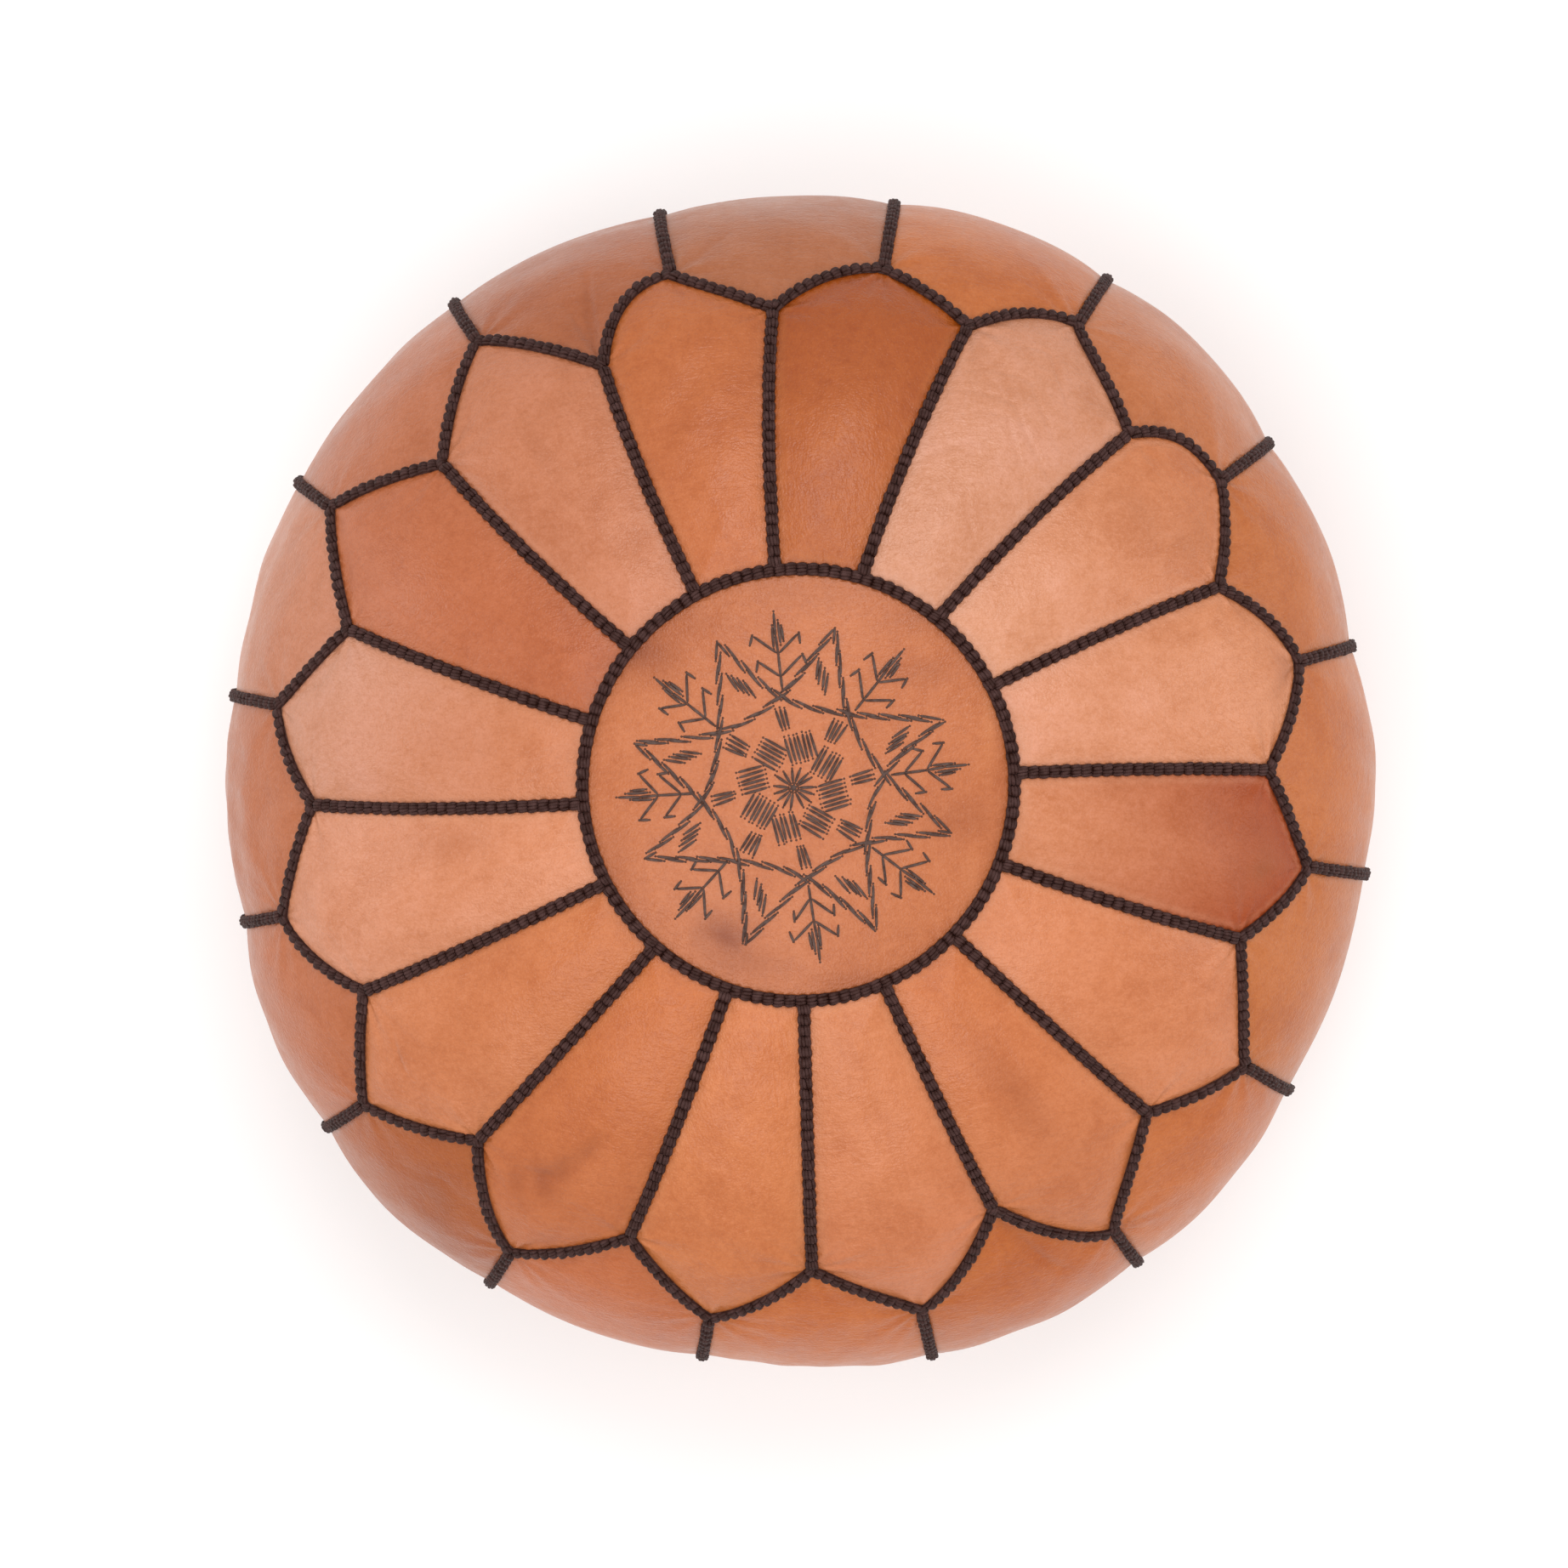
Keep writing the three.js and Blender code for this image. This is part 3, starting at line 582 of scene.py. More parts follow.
def leather(name, inner, outer, seed, grain=0.0, gloss=1.0):
    """Vegetable-tanned goat leather: blotchy dye, soft ripples across the grain and pebbles that glint, with
    painted highlight on their crests and painted shade in their hollows.
    """
    t = Tree(name)
    place = t.node(
        "ShaderNodeVectorMath", settings={"operation": "ADD"}, i0=t.object_coordinates(), i1=(seed, 0, 0)
    )
    broad = t.noise(place, 11.0, 3.0, 0.5, 0.8)
    middle = t.noise(place, 46.0, 3.0, 0.5, 0.6)
    patch = t.noise(place, 130.0, 3.0, 0.6, 0.5)
    fleck = t.noise(place, 420.0, 2.0, 0.55, 0.4)
    pebble = t.noise(place, 1050.0, 1.5, 0.5, 0.3)
    turned = t.node("ShaderNodeVectorRotate", i0=place, Angle=math.radians(grain))
    drawn = t.node("ShaderNodeMapping", i0=turned, Scale=(150.0, 430.0, 430.0))
    ripple = t.noise(drawn, 1.0, 1.5, 0.45, 0.8)
    streak = t.noise(t.uv((300.0, 22.0, 1.0)), 1.0, 3.0, 0.6, 0.5)
    blotch = t.math("ADD", t.math("MULTIPLY", broad, 0.46), t.math("MULTIPLY", middle, 0.28))
    blotch = t.spread(t.math("ADD", blotch, t.math("MULTIPLY", patch, 0.26)), 0.38, 0.62)
    along = t.attribute("along")
    # Tones made from the dye: darker and paler ones for its marks, the paler one also for painted highlight,
    # and a greyed one for painted shade.
    colour, dark, pale, painted_trough_shade = (
        t.mix(along, rgba(inner, gain), rgba(outer, gain))
        for gain in ((1, 1, 1), (0.75, 0.58, 0.36), (1.16, 1.32, 1.7), (0.8, 0.76, 0.72))
    )
    # Each layer takes the colour towards another, by up to its strength as its noise goes from low to high.
    # Blotch, streak and fleck are dye; the ripple and pebble layers paint highlight on the grain's crests and
    # shade in its troughs.
    for value, low, high, strength, other in (
        (blotch, 0.5, 0.0, 0.5, dark), (blotch, 0.5, 1.0, 0.5, pale), (streak, 0.46, 0.72, 0.12, dark),
        (ripple, 0.5, 0.25, 0.12, painted_trough_shade), (ripple, 0.5, 0.75, 0.14, pale), (fleck, 0.5, 0.28, 0.26, dark),
        (fleck, 0.5, 0.72, 0.24, pale), (pebble, 0.5, 0.25, 0.3, painted_trough_shade), (pebble, 0.5, 0.75, 0.3, pale),
    ):
        colour = t.mix(t.math("MULTIPLY", t.spread(value, low, high), strength), colour, other)
    # Stains, with painted shade along some folds, broken up by the middle noise.
    broken = t.math("MULTIPLY", t.attribute("dyed_and_painted_marks"), t.spread(middle, 0.3, 0.65, 0.45, 1.15), clamp=True)
    colour = t.mix(broken, colour, rgba(inner, (0.5, 0.37, 0.28)))
    # Painted sheen: the colour goes paler where the sheen guide is set, broken up by the patch noise.
    painted_sheen_share = t.math("MULTIPLY", t.attribute("painted_sheen"), t.spread(patch, 0.3, 0.6, 0.5, 1.1), clamp=True)
    colour = t.mix(painted_sheen_share, colour, rgba(inner, (1.2, 1.45, 1.8)))
    # Painted shade: darker towards the seams, beside the braids.
    colour = t.mix(t.math("MULTIPLY", t.attribute("seam"), 0.3), colour, dark)
    normal = t.bump(pebble, 1.0, 0.26 * MM)
    for value, strength, height in ((ripple, 1.0, 0.3), (streak, 0.4, 0.15), (middle, 0.5, 1.4)):
        normal = t.bump(value, strength, height * MM, Normal=normal)
    return t.finished(
        Base_Color=colour, Roughness=t.spread(patch, 0.3, 0.7, 0.29, 0.41), IOR=1.45, Normal=normal,
        Specular_IOR_Level=0.5 * gloss, Sheen_Weight=0.03, Sheen_Roughness=0.4,
        Sheen_Tint=(1.0, 0.93, 0.88, 1),
    )


def thread(name, colour, glint):
    """Waxed thread: plies twisted along each stitch, with a painted glint in paler patches and painted shade
    in the grooves between the plies.
    """
    t = Tree(name)
    plies = t.node(
        "ShaderNodeTexWave", settings={"wave_type": "BANDS", "bands_direction": "DIAGONAL"},
        Vector=t.uv((1.0, 1.0, 1.0)), Scale=2.4, Distortion=1.5, Detail=2.0,
    )
    uneven = t.noise(t.object_coordinates(), 300.0, 3.0, 0.6)
    # Painted highlight: the colour goes towards the glint tone in patches.
    shade = t.mix(t.spread(uneven, 0.35, 0.7), rgba(colour), rgba(glint))
    # Painted shade: darker bands in the grooves between the plies.
    shade = t.mix(t.math("MULTIPLY", plies, 0.45), shade, rgba(colour, (0.45, 0.42, 0.42)))
    return t.finished(
        Base_Color=shade, Roughness=t.spread(uneven, 0.3, 0.7, 0.42, 0.65), Specular_IOR_Level=0.16,
        Normal=t.bump(plies, 0.5, 0.15 * MM),
    )


def woven(name, colour, scale, roughness=0.85):
    """A plain weave of crossing yarns, for the zip tape and the cotton."""
    t = Tree(name)
    place = t.object_coordinates()
    yarns = {"Vector": place, "Scale": scale, "Distortion": 0.6}
    warp, weft = (t.node("ShaderNodeTexWave", settings={"bands_direction": axis}, **yarns) for axis in "XY")
    weave = t.math("MAXIMUM", warp, weft)
    uneven = t.noise(place, 60.0, 4.0, 0.6)
    dull, bright = (rgba(colour, (gain,) * 3) for gain in (0.8, 1.15))
    shade = t.mix(t.spread(uneven, 0.3, 0.7), dull, bright)
    shade = t.mix(t.math("MULTIPLY", weave, 0.5), rgba(colour, (0.6, 0.6, 0.6)), shade)
    return t.finished(Base_Color=shade, Roughness=roughness, Normal=t.bump(weave, 0.6, 0.25 * MM))


def brass(name):
    """Antique brass with a darker patina in patches and fine rub marks."""
    t = Tree(name)
    place = t.object_coordinates()
    patina = t.noise(place, 620.0, 5.0, 0.6, 0.3)
    rub = t.noise(t.node("ShaderNodeMapping", i0=place, Scale=(300.0, 2600.0, 2600.0)), 1.0, 2.0)
    shade = t.mix(t.spread(patina, 0.35, 0.65), (0.62, 0.44, 0.2, 1), (0.36, 0.24, 0.11, 1))
    return t.finished(
        Base_Color=shade, Metallic=1.0, Roughness=t.spread(patina, 0.3, 0.7, 0.28, 0.5),
        Normal=t.bump(rub, 0.25, 0.05 * MM),
    )


def dress(obj, material):
    obj.data.materials.append(material)
    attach(obj, BODY)


def thread_object(name, points, uv, material):
    """Sewn threads from the points and the uv that tubes gives."""
    polygons = tube_polygons(*points.shape[:3])
    obj = new_object(name, points.reshape(-1, 3), polygons, uv.reshape(-1, 2))
    dress(obj, material)


# Darker marks, per petal: stains in the dye, and under keys 9, 10 and 14 painted shade along their folds.
# Places across and along it, half sizes as shares of it, and strength.
PETAL_STAINS_AND_FOLD_SHADE = {
    2: [(0.72, 0.8, 0.16, 0.12, 0.35), (0.45, 0.62, 0.2, 0.06, 0.2)],
    3: [(0.55, 0.93, 0.12, 0.06, 0.45)],
    4: [(0.45, 0.8, 0.3, 0.14, 0.25), (0.55, 0.77, 0.07, 0.05, 0.4)],
    6: [(0.5, 0.36, 0.16, 0.18, 0.42), (0.5, 0.75, 0.3, 0.2, 0.12)],
    0: [(0.5, 0.85, 0.4, 0.14, 0.14)],
    9: [
        (0.59, 0.68, 0.11, 0.05, 0.6), (0.68, 0.79, 0.09, 0.05, 0.4), (0.52, 0.59, 0.08, 0.05, 0.45),
        (0.45, 0.5, 0.07, 0.05, 0.35),
    ],
    10: [(0.6, 0.77, 0.05, 0.02, 0.3)],
    12: [(0.5, 0.3, 0.2, 0.15, 0.12)],
    11: [(0.75, 0.35, 0.12, 0.14, 0.2)],
    14: [(0.5, 0.5, 0.06, 0.08, 0.2)],
    15: [(0.45, 0.55, 0.14, 0.05, 0.1)],
}
# The same for the side panels; under keys 7 and 15 the marks are painted shade along the folds by the valley.
SIDE_STAINS_AND_FOLD_SHADE = {
    15: [(0.52, 0.05, 0.16, 0.05, 0.3)],
    10: [(0.45, 0.13, 0.3, 0.09, 0.35)],
    7: [(0.4, 0.06, 0.12, 0.04, 0.25)],
}
# Folds in the leather: from and to, as places in the panel, then the bow, and depth and half width in mm.
PETAL_FOLDS = {
    1: [
        (0.05, 0.66, 0.95, 0.58, -0.05, 0.6, 1.4), (0.1, 0.73, 0.9, 0.66, -0.03, 0.5, 1.2),
        (0.2, 0.52, 0.95, 0.42, 0.04, 0.4, 1.4), (0.3, 0.8, 0.8, 0.74, 0.02, 0.45, 1.2),
        (0.05, 0.35, 0.6, 0.42, 0.03, 0.3, 1.6), (0.5, 0.3, 0.95, 0.22, -0.02, 0.3, 1.4),
    ],
    6: [(0.3, 0.2, 0.5, 0.6, 0.02, 0.3, 2.5), (0.6, 0.3, 0.7, 0.62, -0.02, 0.25, 2.2)],
    9: [(0.74, 0.86, 0.42, 0.46, 0.01, 1.8, 5.0), (0.72, 0.74, 0.48, 0.6, 0.01, 0.7, 2.4)],
    10: [(0.48, 0.73, 0.74, 0.81, 0.01, 0.7, 1.3), (0.2, 0.5, 0.9, 0.52, 0.02, 0.3, 1.5)],
    13: [(0.1, 0.35, 0.35, 0.85, 0.04, 0.35, 1.8)],
    14: [(0.5, 0.2, 0.46, 0.75, 0.02, 0.25, 1.4)],
}
SIDE_FOLDS = {
    0: [(0.1, 0.03, 0.3, 0.12, 0.01, 0.4, 2.0)],
    7: [(0.5, 0.01, 0.3, 0.1, 0.01, 1.4, 2.6), (0.52, 0.01, 0.6, 0.11, 0.01, 1.0, 2.4)],
    15: [
        (0.5, 0.01, 0.62, 0.12, 0.01, 1.5, 2.0), (0.49, 0.01, 0.45, 0.11, 0.01, 1.2, 2.0),
        (0.5, 0.01, 0.53, 0.1, 0.0, 1.0, 1.8),
    ],
    10: [(0.3, 0.04, 0.7, 0.1, 0.02, 0.5, 3.0)],
    13: [(0.45, 0.02, 0.3, 0.12, 0.01, 0.5, 2.0)],
}
PETAL_GRAINS = {0: 84, 8: 75, 3: 30, 13: -20}  # turn of the leather's ripples, where it isn't near zero
PETAL_GLOSS = {4: 0.5}  # share of the usual gloss, on the petal with the dullest leather
SIDE_GLOSS = 0.8
PETAL_GRID = (90, 150)
SIDE_GRID = (84, 190)
PETAL_PUFF = 3.8 * MM
SIDE_PUFFS = (2.5, 4.5, 4, 3.5, 2.5, 1.2, 2, 3, 1.5, 3, 1.5, 4.5, 2.5, 1.2, 1.2, 0.8)  # in mm


def petals():
    for k in range(SECTORS):
        name = f"petal_{k + 1:02d}"
        here, following = cut_of(k), cut_of(k + 1)
        corners = [corner(here, "valley"), corner(here, "tip"), corner(following, "valley")]
        inner, outer = (linear(tone) for tone in PETAL_TONES[k])
        grain = PETAL_GRAINS.get(k, 9.0 * math.sin(5 * k))
        dye = leather(name + "_dye", inner, outer, 3.7 * k, grain, PETAL_GLOSS.get(k, 1.0))
        obj = panel(
            name + "_leather", lambda u, v, k=k: petal_place(k, u, v), PETAL_GRID, PETAL_PUFF, 100 + k,
            corners, PETAL_STAINS_AND_FOLD_SHADE.get(k, ()), PETAL_FOLDS.get(k, ()),
        )
        dress(obj, dye)
        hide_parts(name)


def side_panels():
    for k in range(SECTORS):
        name = f"side_panel_{k + 1:02d}"
        before, here = cut_of(k - 1), cut_of(k)
        corners = [
            corner(before, "tip"), corner(here, "valley"), corner(here, "tip"),
            (before["foot"], BASE_SEAM_LATITUDE), (here["foot"], BASE_SEAM_LATITUDE),
        ]
        tone = linear(SIDE_TONES[k], SIDE_HAZE)
        dye = leather(name + "_dye", tone, tone, 90 + 3.1 * k, gloss=SIDE_GLOSS)
        obj = panel(
            name + "_leather", lambda u, v, k=k: side_place(k, u, v), SIDE_GRID, SIDE_PUFFS[k] * MM, 200 + k,
            corners, SIDE_STAINS_AND_FOLD_SHADE.get(k, ()), SIDE_FOLDS.get(k, ()),
        )
        dress(obj, dye)
        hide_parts(name)


# ---------------- medallion and its embroidery
MEDALLION_PUFF = 3.0 * MM
MEDALLION_DOME_POWER = 2.6
MEDALLION_RINGS = 70
MEDALLION_SPOKES = 144


def medallion_lift(x, y):
    """How far the medallion's leather stands off the plain surface at a plan position."""
    distance = np.maximum(RING_RADIUS - np.hypot(x, y), 0)
    dome = 1 - (1 - np.minimum(distance / RING_RADIUS, 1)) ** MEDALLION_DOME_POWER
    lift = -SEAM_DIP + MEDALLION_PUFF * dome
    lift += pull(np.arctan2(y, x) * RING_RADIUS, distance)
    return lift + 0.35 * MM * np.sin(61 * x + 2 * np.sin(40 * y)) * np.sin(53 * y + 1) * dome


def medallion_point(x, y, lift=0.0):
    """Points on the medallion's leather over plan positions, raised by lift."""
    radius = np.maximum(np.hypot(x, y), 1e-6)
    angle = np.degrees(np.arctan2(y, x))
    return surface(angle, latitude_at_radius(radius), medallion_lift(x, y) + lift)


MEDALLION_STAINS_AND_SHEEN = [
    (-33, -65, 12, 10, 1.0), (-20, -78, 15, 7, 0.6), (-68, 58, 13, 12, 1.0), (-48, 72, 16, 8, 0.35),
    (52, 50, 16, 6, 0.4), (50, 72, 16, 7, 0.3), (68, -15, 13, 9, 0.45), (24, -86, 18, 6, 0.4),
    (-80, -34, 8, 20, 0.25), (2, 84, 26, 7, 0.25), (83, 27, 4, 17, -0.6), (75, -42, 3, 13, -0.3),
]  # plan position, half sizes and strength, in mm; negative marks are paler strips along the ring braid, painted sheen


def medallion():
    share = np.linspace(0, 1, MEDALLION_RINGS + 1)[1:]
    radius = (RING_RADIUS - SEAM_GAP / 2) * share
    turn = np.radians(np.arange(MEDALLION_SPOKES) * 360 / MEDALLION_SPOKES)
    x = radius[:, None] * np.cos(turn)
    y = radius[:, None] * np.sin(turn)
    outer = medallion_point(x, y)
    inner = outer - np.array([0, 0, SKIN])
    rings, spokes = x.shape
    middle = medallion_point(np.array([0.0]), np.array([0.0]))
    below = middle - (0, 0, SKIN)
    points = np.concatenate([outer.reshape(-1, 3), inner.reshape(-1, 3), middle, below])
    index = np.arange(rings * spokes).reshape(rings, spokes)
    following = np.roll(index, -1, axis=1)
    face = faces(index[:-1], index[1:], following[1:], following[:-1])
    inside = rings * spokes
    wall = faces(index[-1], index[-1] + inside, following[-1] + inside, following[-1])
    cap = faces(np.full(spokes, 2 * inside), index[0], following[0])
    under = faces(np.full(spokes, 2 * inside + 1), following[0] + inside, index[0] + inside)
    plan = points[:, :2]
    dyed_and_painted_marks = marks(plan[:, 0] / MM, plan[:, 1] / MM, MEDALLION_STAINS_AND_SHEEN)
    distance = np.maximum(RING_RADIUS - np.hypot(plan[:, 0], plan[:, 1]), 0)
    along = np.clip(0.5 - plan[:, 1] / (2 * RING_RADIUS), 0, 1)
    # Painted shade: the leather darkens towards the ring braid.
    guides = dye_and_painted_light_guides(np.exp(-distance / (6 * MM)), dyed_and_painted_marks, 0, along)
    polygons = [face, face[:, ::-1] + inside, wall, cap, under]
    obj = new_object("medallion_leather", points, polygons, plan, guides)
    inner_tone, outer_tone = MEDALLION_TONE
    dress(obj, leather("medallion_dye", linear(inner_tone), linear(outer_tone), 57.0))
    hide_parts("medallion")


THREAD = 0.62 * MM  # radius of the embroidery thread
HOLE_RADIUS = 0.55 * MM  # of the awl holes at its ends
EMBROIDERY_CENTRE = np.array([-2.4, -0.9]) * MM
ARMS = 8  # the star's points, and the branches between them
ARM_DEG = 360 / ARMS
EMBROIDERY_TURN = 98.5  # angle of the first branch, in degrees
TIP_TURN = -25.5  # from a branch to the star's point beside it
STAR_REACH = 71.5 * MM
CROSSING_REACH = 40.0 * MM
STAR_DRIFTS = (2.5, -0.5, 1.5, -2.5, 0, 2.5, 1, -3.5)  # degrees that each hand-sewn point strays
BRANCH_DRIFTS = (-2, -2.3, -6.2, -7, -0.8, -1.3, -0.7, -2.2)  # and each branch


def polar(radius, degrees):
    return radius * np.array([math.cos(math.radians(degrees)), math.sin(math.radians(degrees))])


def star_stitches():
    """Two crossed squares with bowed edges, each edge a double row of overlapping stitches."""
    made = []
    turns = [EMBROIDERY_TURN + ARM_DEG * i for i in range(ARMS)]
    tips = [polar(STAR_REACH, turn + TIP_TURN + drift) for turn, drift in zip(turns, STAR_DRIFTS)]
    crossings = [polar(CROSSING_REACH, turn) for turn in turns]
    for i in range(ARMS):
        route = [tips[i], crossings[i], crossings[(i + 1) % ARMS], tips[(i + 2) % ARMS]]
        ends = [2 * route[0] - route[1], *route, 2 * route[3] - route[2]]
        line = []
        for a, b, c, d in zip(ends, ends[1:], ends[2:], ends[3:]):
            for s in np.linspace(0, 1, 24, endpoint=False):
                square = (2 * a - 5 * b + 4 * c - d) * s**2
                line.append(0.5 * (2 * b + (c - a) * s + square + (3 * b - a - 3 * c + d) * s**3))
        line = np.array(line + [route[3]])
        along = lengths_along(line)

        def at(distance):
            return np.array([np.interp(distance, along, line[:, axis]) for axis in (0, 1)])

        start = 0.0
        row = 0
        while start < along[-1] - 4 * MM:
            stop = min(start + rng.uniform(8, 10.5) * MM, along[-1])
            heading = unit(at(stop) - at(start))
            normal = np.array([-heading[1], heading[0]])
            sideways = normal * (0.6 if row % 2 else -0.6) * MM
            slant = normal * rng.uniform(0.35, 0.75) * MM
            made.append((at(start) + sideways + slant, at(stop) + sideways - slant))
            start += rng.uniform(4.4, 5.2) * MM
            row += 1
    return made


def bundle(centre, degrees, count, spacing, length, fan=0.0, jitter=0.4, stagger=0.0):
    """Parallel stitches across a place, along a heading in degrees, each one staggered along it."""
    made = []
    for i in range(count):
        offset = i - (count - 1) / 2
        heading = polar(1, degrees + fan * offset + rng.normal(0, 1.5))
        sideways = polar(1, degrees + 90) * offset * spacing + heading * offset * stagger
        middle = centre + sideways + rng.normal(0, jitter * MM / 2, 2)
        half = heading * (length + rng.normal(0, jitter * MM)) / 2
        made.append((middle - half, middle + half))
    return made


# The stitches of a branch's leaf: where each starts and stops along it, and its offsets there, in mm.
LEAF = (
    (59, 67, 0, 0.3), (61, 71, 1.7, 1.4), (62.5, 73, -1.5, -1.4), (66, 77, 0.4, 0), (64, 70.5, -2.9, -2.6),
)


def branch_stitches(turn):
    """A stem with two pairs of hooked arms and a pointed leaf."""
    made = []
    heading = polar(1, turn)
    for start, stop in ((43.5, 49), (48.5, 59)):
        made.append((heading * start * MM, heading * stop * MM))
    for node, arm in ((48.5, 12.8), (58.5, 13.4)):
        for side in (-1, 1):
            foot = heading * node * MM
            end = foot + polar(arm * MM * rng.uniform(0.92, 1.08), turn + side * rng.uniform(42, 52))
            made.append((foot, end))
            made.append((end, end + polar(4.2 * MM, turn + 180 - side * rng.uniform(-6, 22))))
    sideways = polar(1, turn + 90)
    for start, stop, near, far in LEAF:
        made.append((heading * start * MM + sideways * near * MM, heading * stop * MM + sideways * far * MM))
    return made


def embroidery_stitches():
    made = star_stitches()
    for i in range(ARMS):
        turn = EMBROIDERY_TURN + ARM_DEG * i
        made += branch_stitches(turn + BRANCH_DRIFTS[i] + rng.uniform(-1.5, 1.5))
        made += bundle(polar(30.5 * MM, turn), turn + 8, 4 if i % 2 else 3, 1.75 * MM, 9.2 * MM, 3)
        tip = turn + TIP_TURN + STAR_DRIFTS[i]
        made += bundle(polar(50 * MM, tip), tip + 8, 4, 1.5 * MM, 8.8 * MM, 0, 0.3, 2.2 * MM)
        square = turn - 19
        made += bundle(polar(17.8 * MM, square), square + 26, 6 if i % 3 else 7, 1.9 * MM, 12 * MM, 0, 0.3)
    for i in range(15):
        turn = EMBROIDERY_TURN + 24 * i + rng.uniform(-4, 4)
        made.append((polar(2.4 * MM, turn), polar(rng.uniform(7.6, 9.8) * MM, turn + rng.uniform(-3, 6))))
    for turn in (20, 80, 140):
        made.append((polar(1.6 * MM, turn), polar(-1.6 * MM, turn)))
    return [(start + EMBROIDERY_CENTRE, stop + EMBROIDERY_CENTRE) for start, stop in made]


def capsules(ends, radius, lift, sides=7, steps=9):
    """Thread lengths over the medallion from end to end, diving into the leather at both ends."""
    ends = np.array(ends)
    share = np.linspace(0, 1, steps)
    bow = np.sin(np.pi * share) ** 0.35
    line = lerp(ends[:, None, 0], ends[:, None, 1], share[:, None])
    height = lift * bow - radius * (1 - bow)
    centre = medallion_point(line[..., 0], line[..., 1], np.broadcast_to(height, line.shape[:2]))
    thick = radius * (0.55 + 0.45 * bow)
    length = np.linalg.norm(ends[:, 1] - ends[:, 0], axis=1)
    across = np.cross((0, 0, 1), np.gradient(centre, axis=1))
    return tubes(centre, across, thick[None, :, None, None], sides, share * length[:, None] / (2 * radius))


def embroidery():
    stitches = embroidery_stitches()
    waxed = thread("embroidery_thread", (0.072, 0.037, 0.029), (0.15, 0.1, 0.085))
    thread_object("medallion_embroidery", *capsules(stitches, THREAD, 0.35 * MM), waxed)
    ends = np.array(stitches)
    heading = unit(ends[:, 1] - ends[:, 0]) * 0.2 * MM
    needle_holes(np.concatenate([ends[:, 0] - heading, ends[:, 1] + heading]))


def needle_holes(places):
    """Small dark flat closed beads sunk in the leather at the ends of the stitches, painted shade in the awl
    holes.
    """
    sides = 7
    turn = np.arange(sides) * 2 * np.pi / sides
    x, y = places[:, :1], places[:, 1:]
    rim = medallion_point(x + HOLE_RADIUS * np.cos(turn), y + HOLE_RADIUS * np.sin(turn), 0.05 * MM)
    top, bottom = (medallion_point(x, y, lift * MM) for lift in (0.12, -0.3))
    points = np.concatenate([rim, top, bottom], axis=1)
    index = np.arange(len(places) * (sides + 2)).reshape(len(places), sides + 2)
    here, following = index[:, :sides], np.roll(index[:, :sides], -1, axis=1)
    crown, sole = (here * 0 + index[:, [point]] for point in (sides, sides + 1))
    polygons = [faces(here, following, crown), faces(following, here, sole)]
    obj = new_object("embroidery_holes", points.reshape(-1, 3), polygons)
    # Painted shade: the hole's darkness is in the bead's colour.
    t = Tree("awl_hole_painted_shade")
    uneven = t.noise(t.object_coordinates(), 900.0, 2.0)
    shade = t.mix(uneven, (0.06, 0.022, 0.014, 1), (0.15, 0.06, 0.035, 1))
    dress(obj, t.finished(Base_Color=shade, Roughness=0.9))


# ---------------- braided seams
STRAND = 0.93 * MM  # radius of one strand of a stitch
STRAND_ROWS = (-2.0, -0.68, 0.68, 2.0)  # where a stitch's strands lie across the braid, in mm
STRAND_RISES = (1.3, 1.9, 1.9, 1.3)  # how high their middles stand, in mm
BRAID_HALF_WIDTH = 3.1 * MM
BRAID_MEET = 0.4 * BRAID_HALF_WIDTH  # from the middle of a crossing seam to a braid's end
KNOT_RISE = 0.45 * MM  # how far a braid's end stitches climb over the braid that they meet


def stitch_frames(angle, latitude, closed):
    """Whole stitches along a route of places: their middles, headings and normals, and their length."""
    if closed:
        angle = np.append(angle, angle[0] - 360)
        latitude = np.append(latitude, latitude[0])
    route = surface(angle, latitude)
    along = lengths_along(route)
    count = max(round(along[-1] / STITCH), 2)
    pitch = along[-1] / count
    middles = (np.arange(count) + 0.5) * pitch

    def at(distance, lift=0.0):
        if closed:
            distance = distance % along[-1]
        return surface(np.interp(distance, along, angle), np.interp(distance, along, latitude), lift)

    centre = at(middles, -0.6 * SEAM_DIP)
    heading = unit(at(middles + 0.3 * pitch) - at(middles - 0.3 * pitch))
    normal = at(middles, MM) - at(middles)
    normal = unit(normal - heading * (normal * heading).sum(axis=1, keepdims=True))
    return centre, heading, normal, pitch


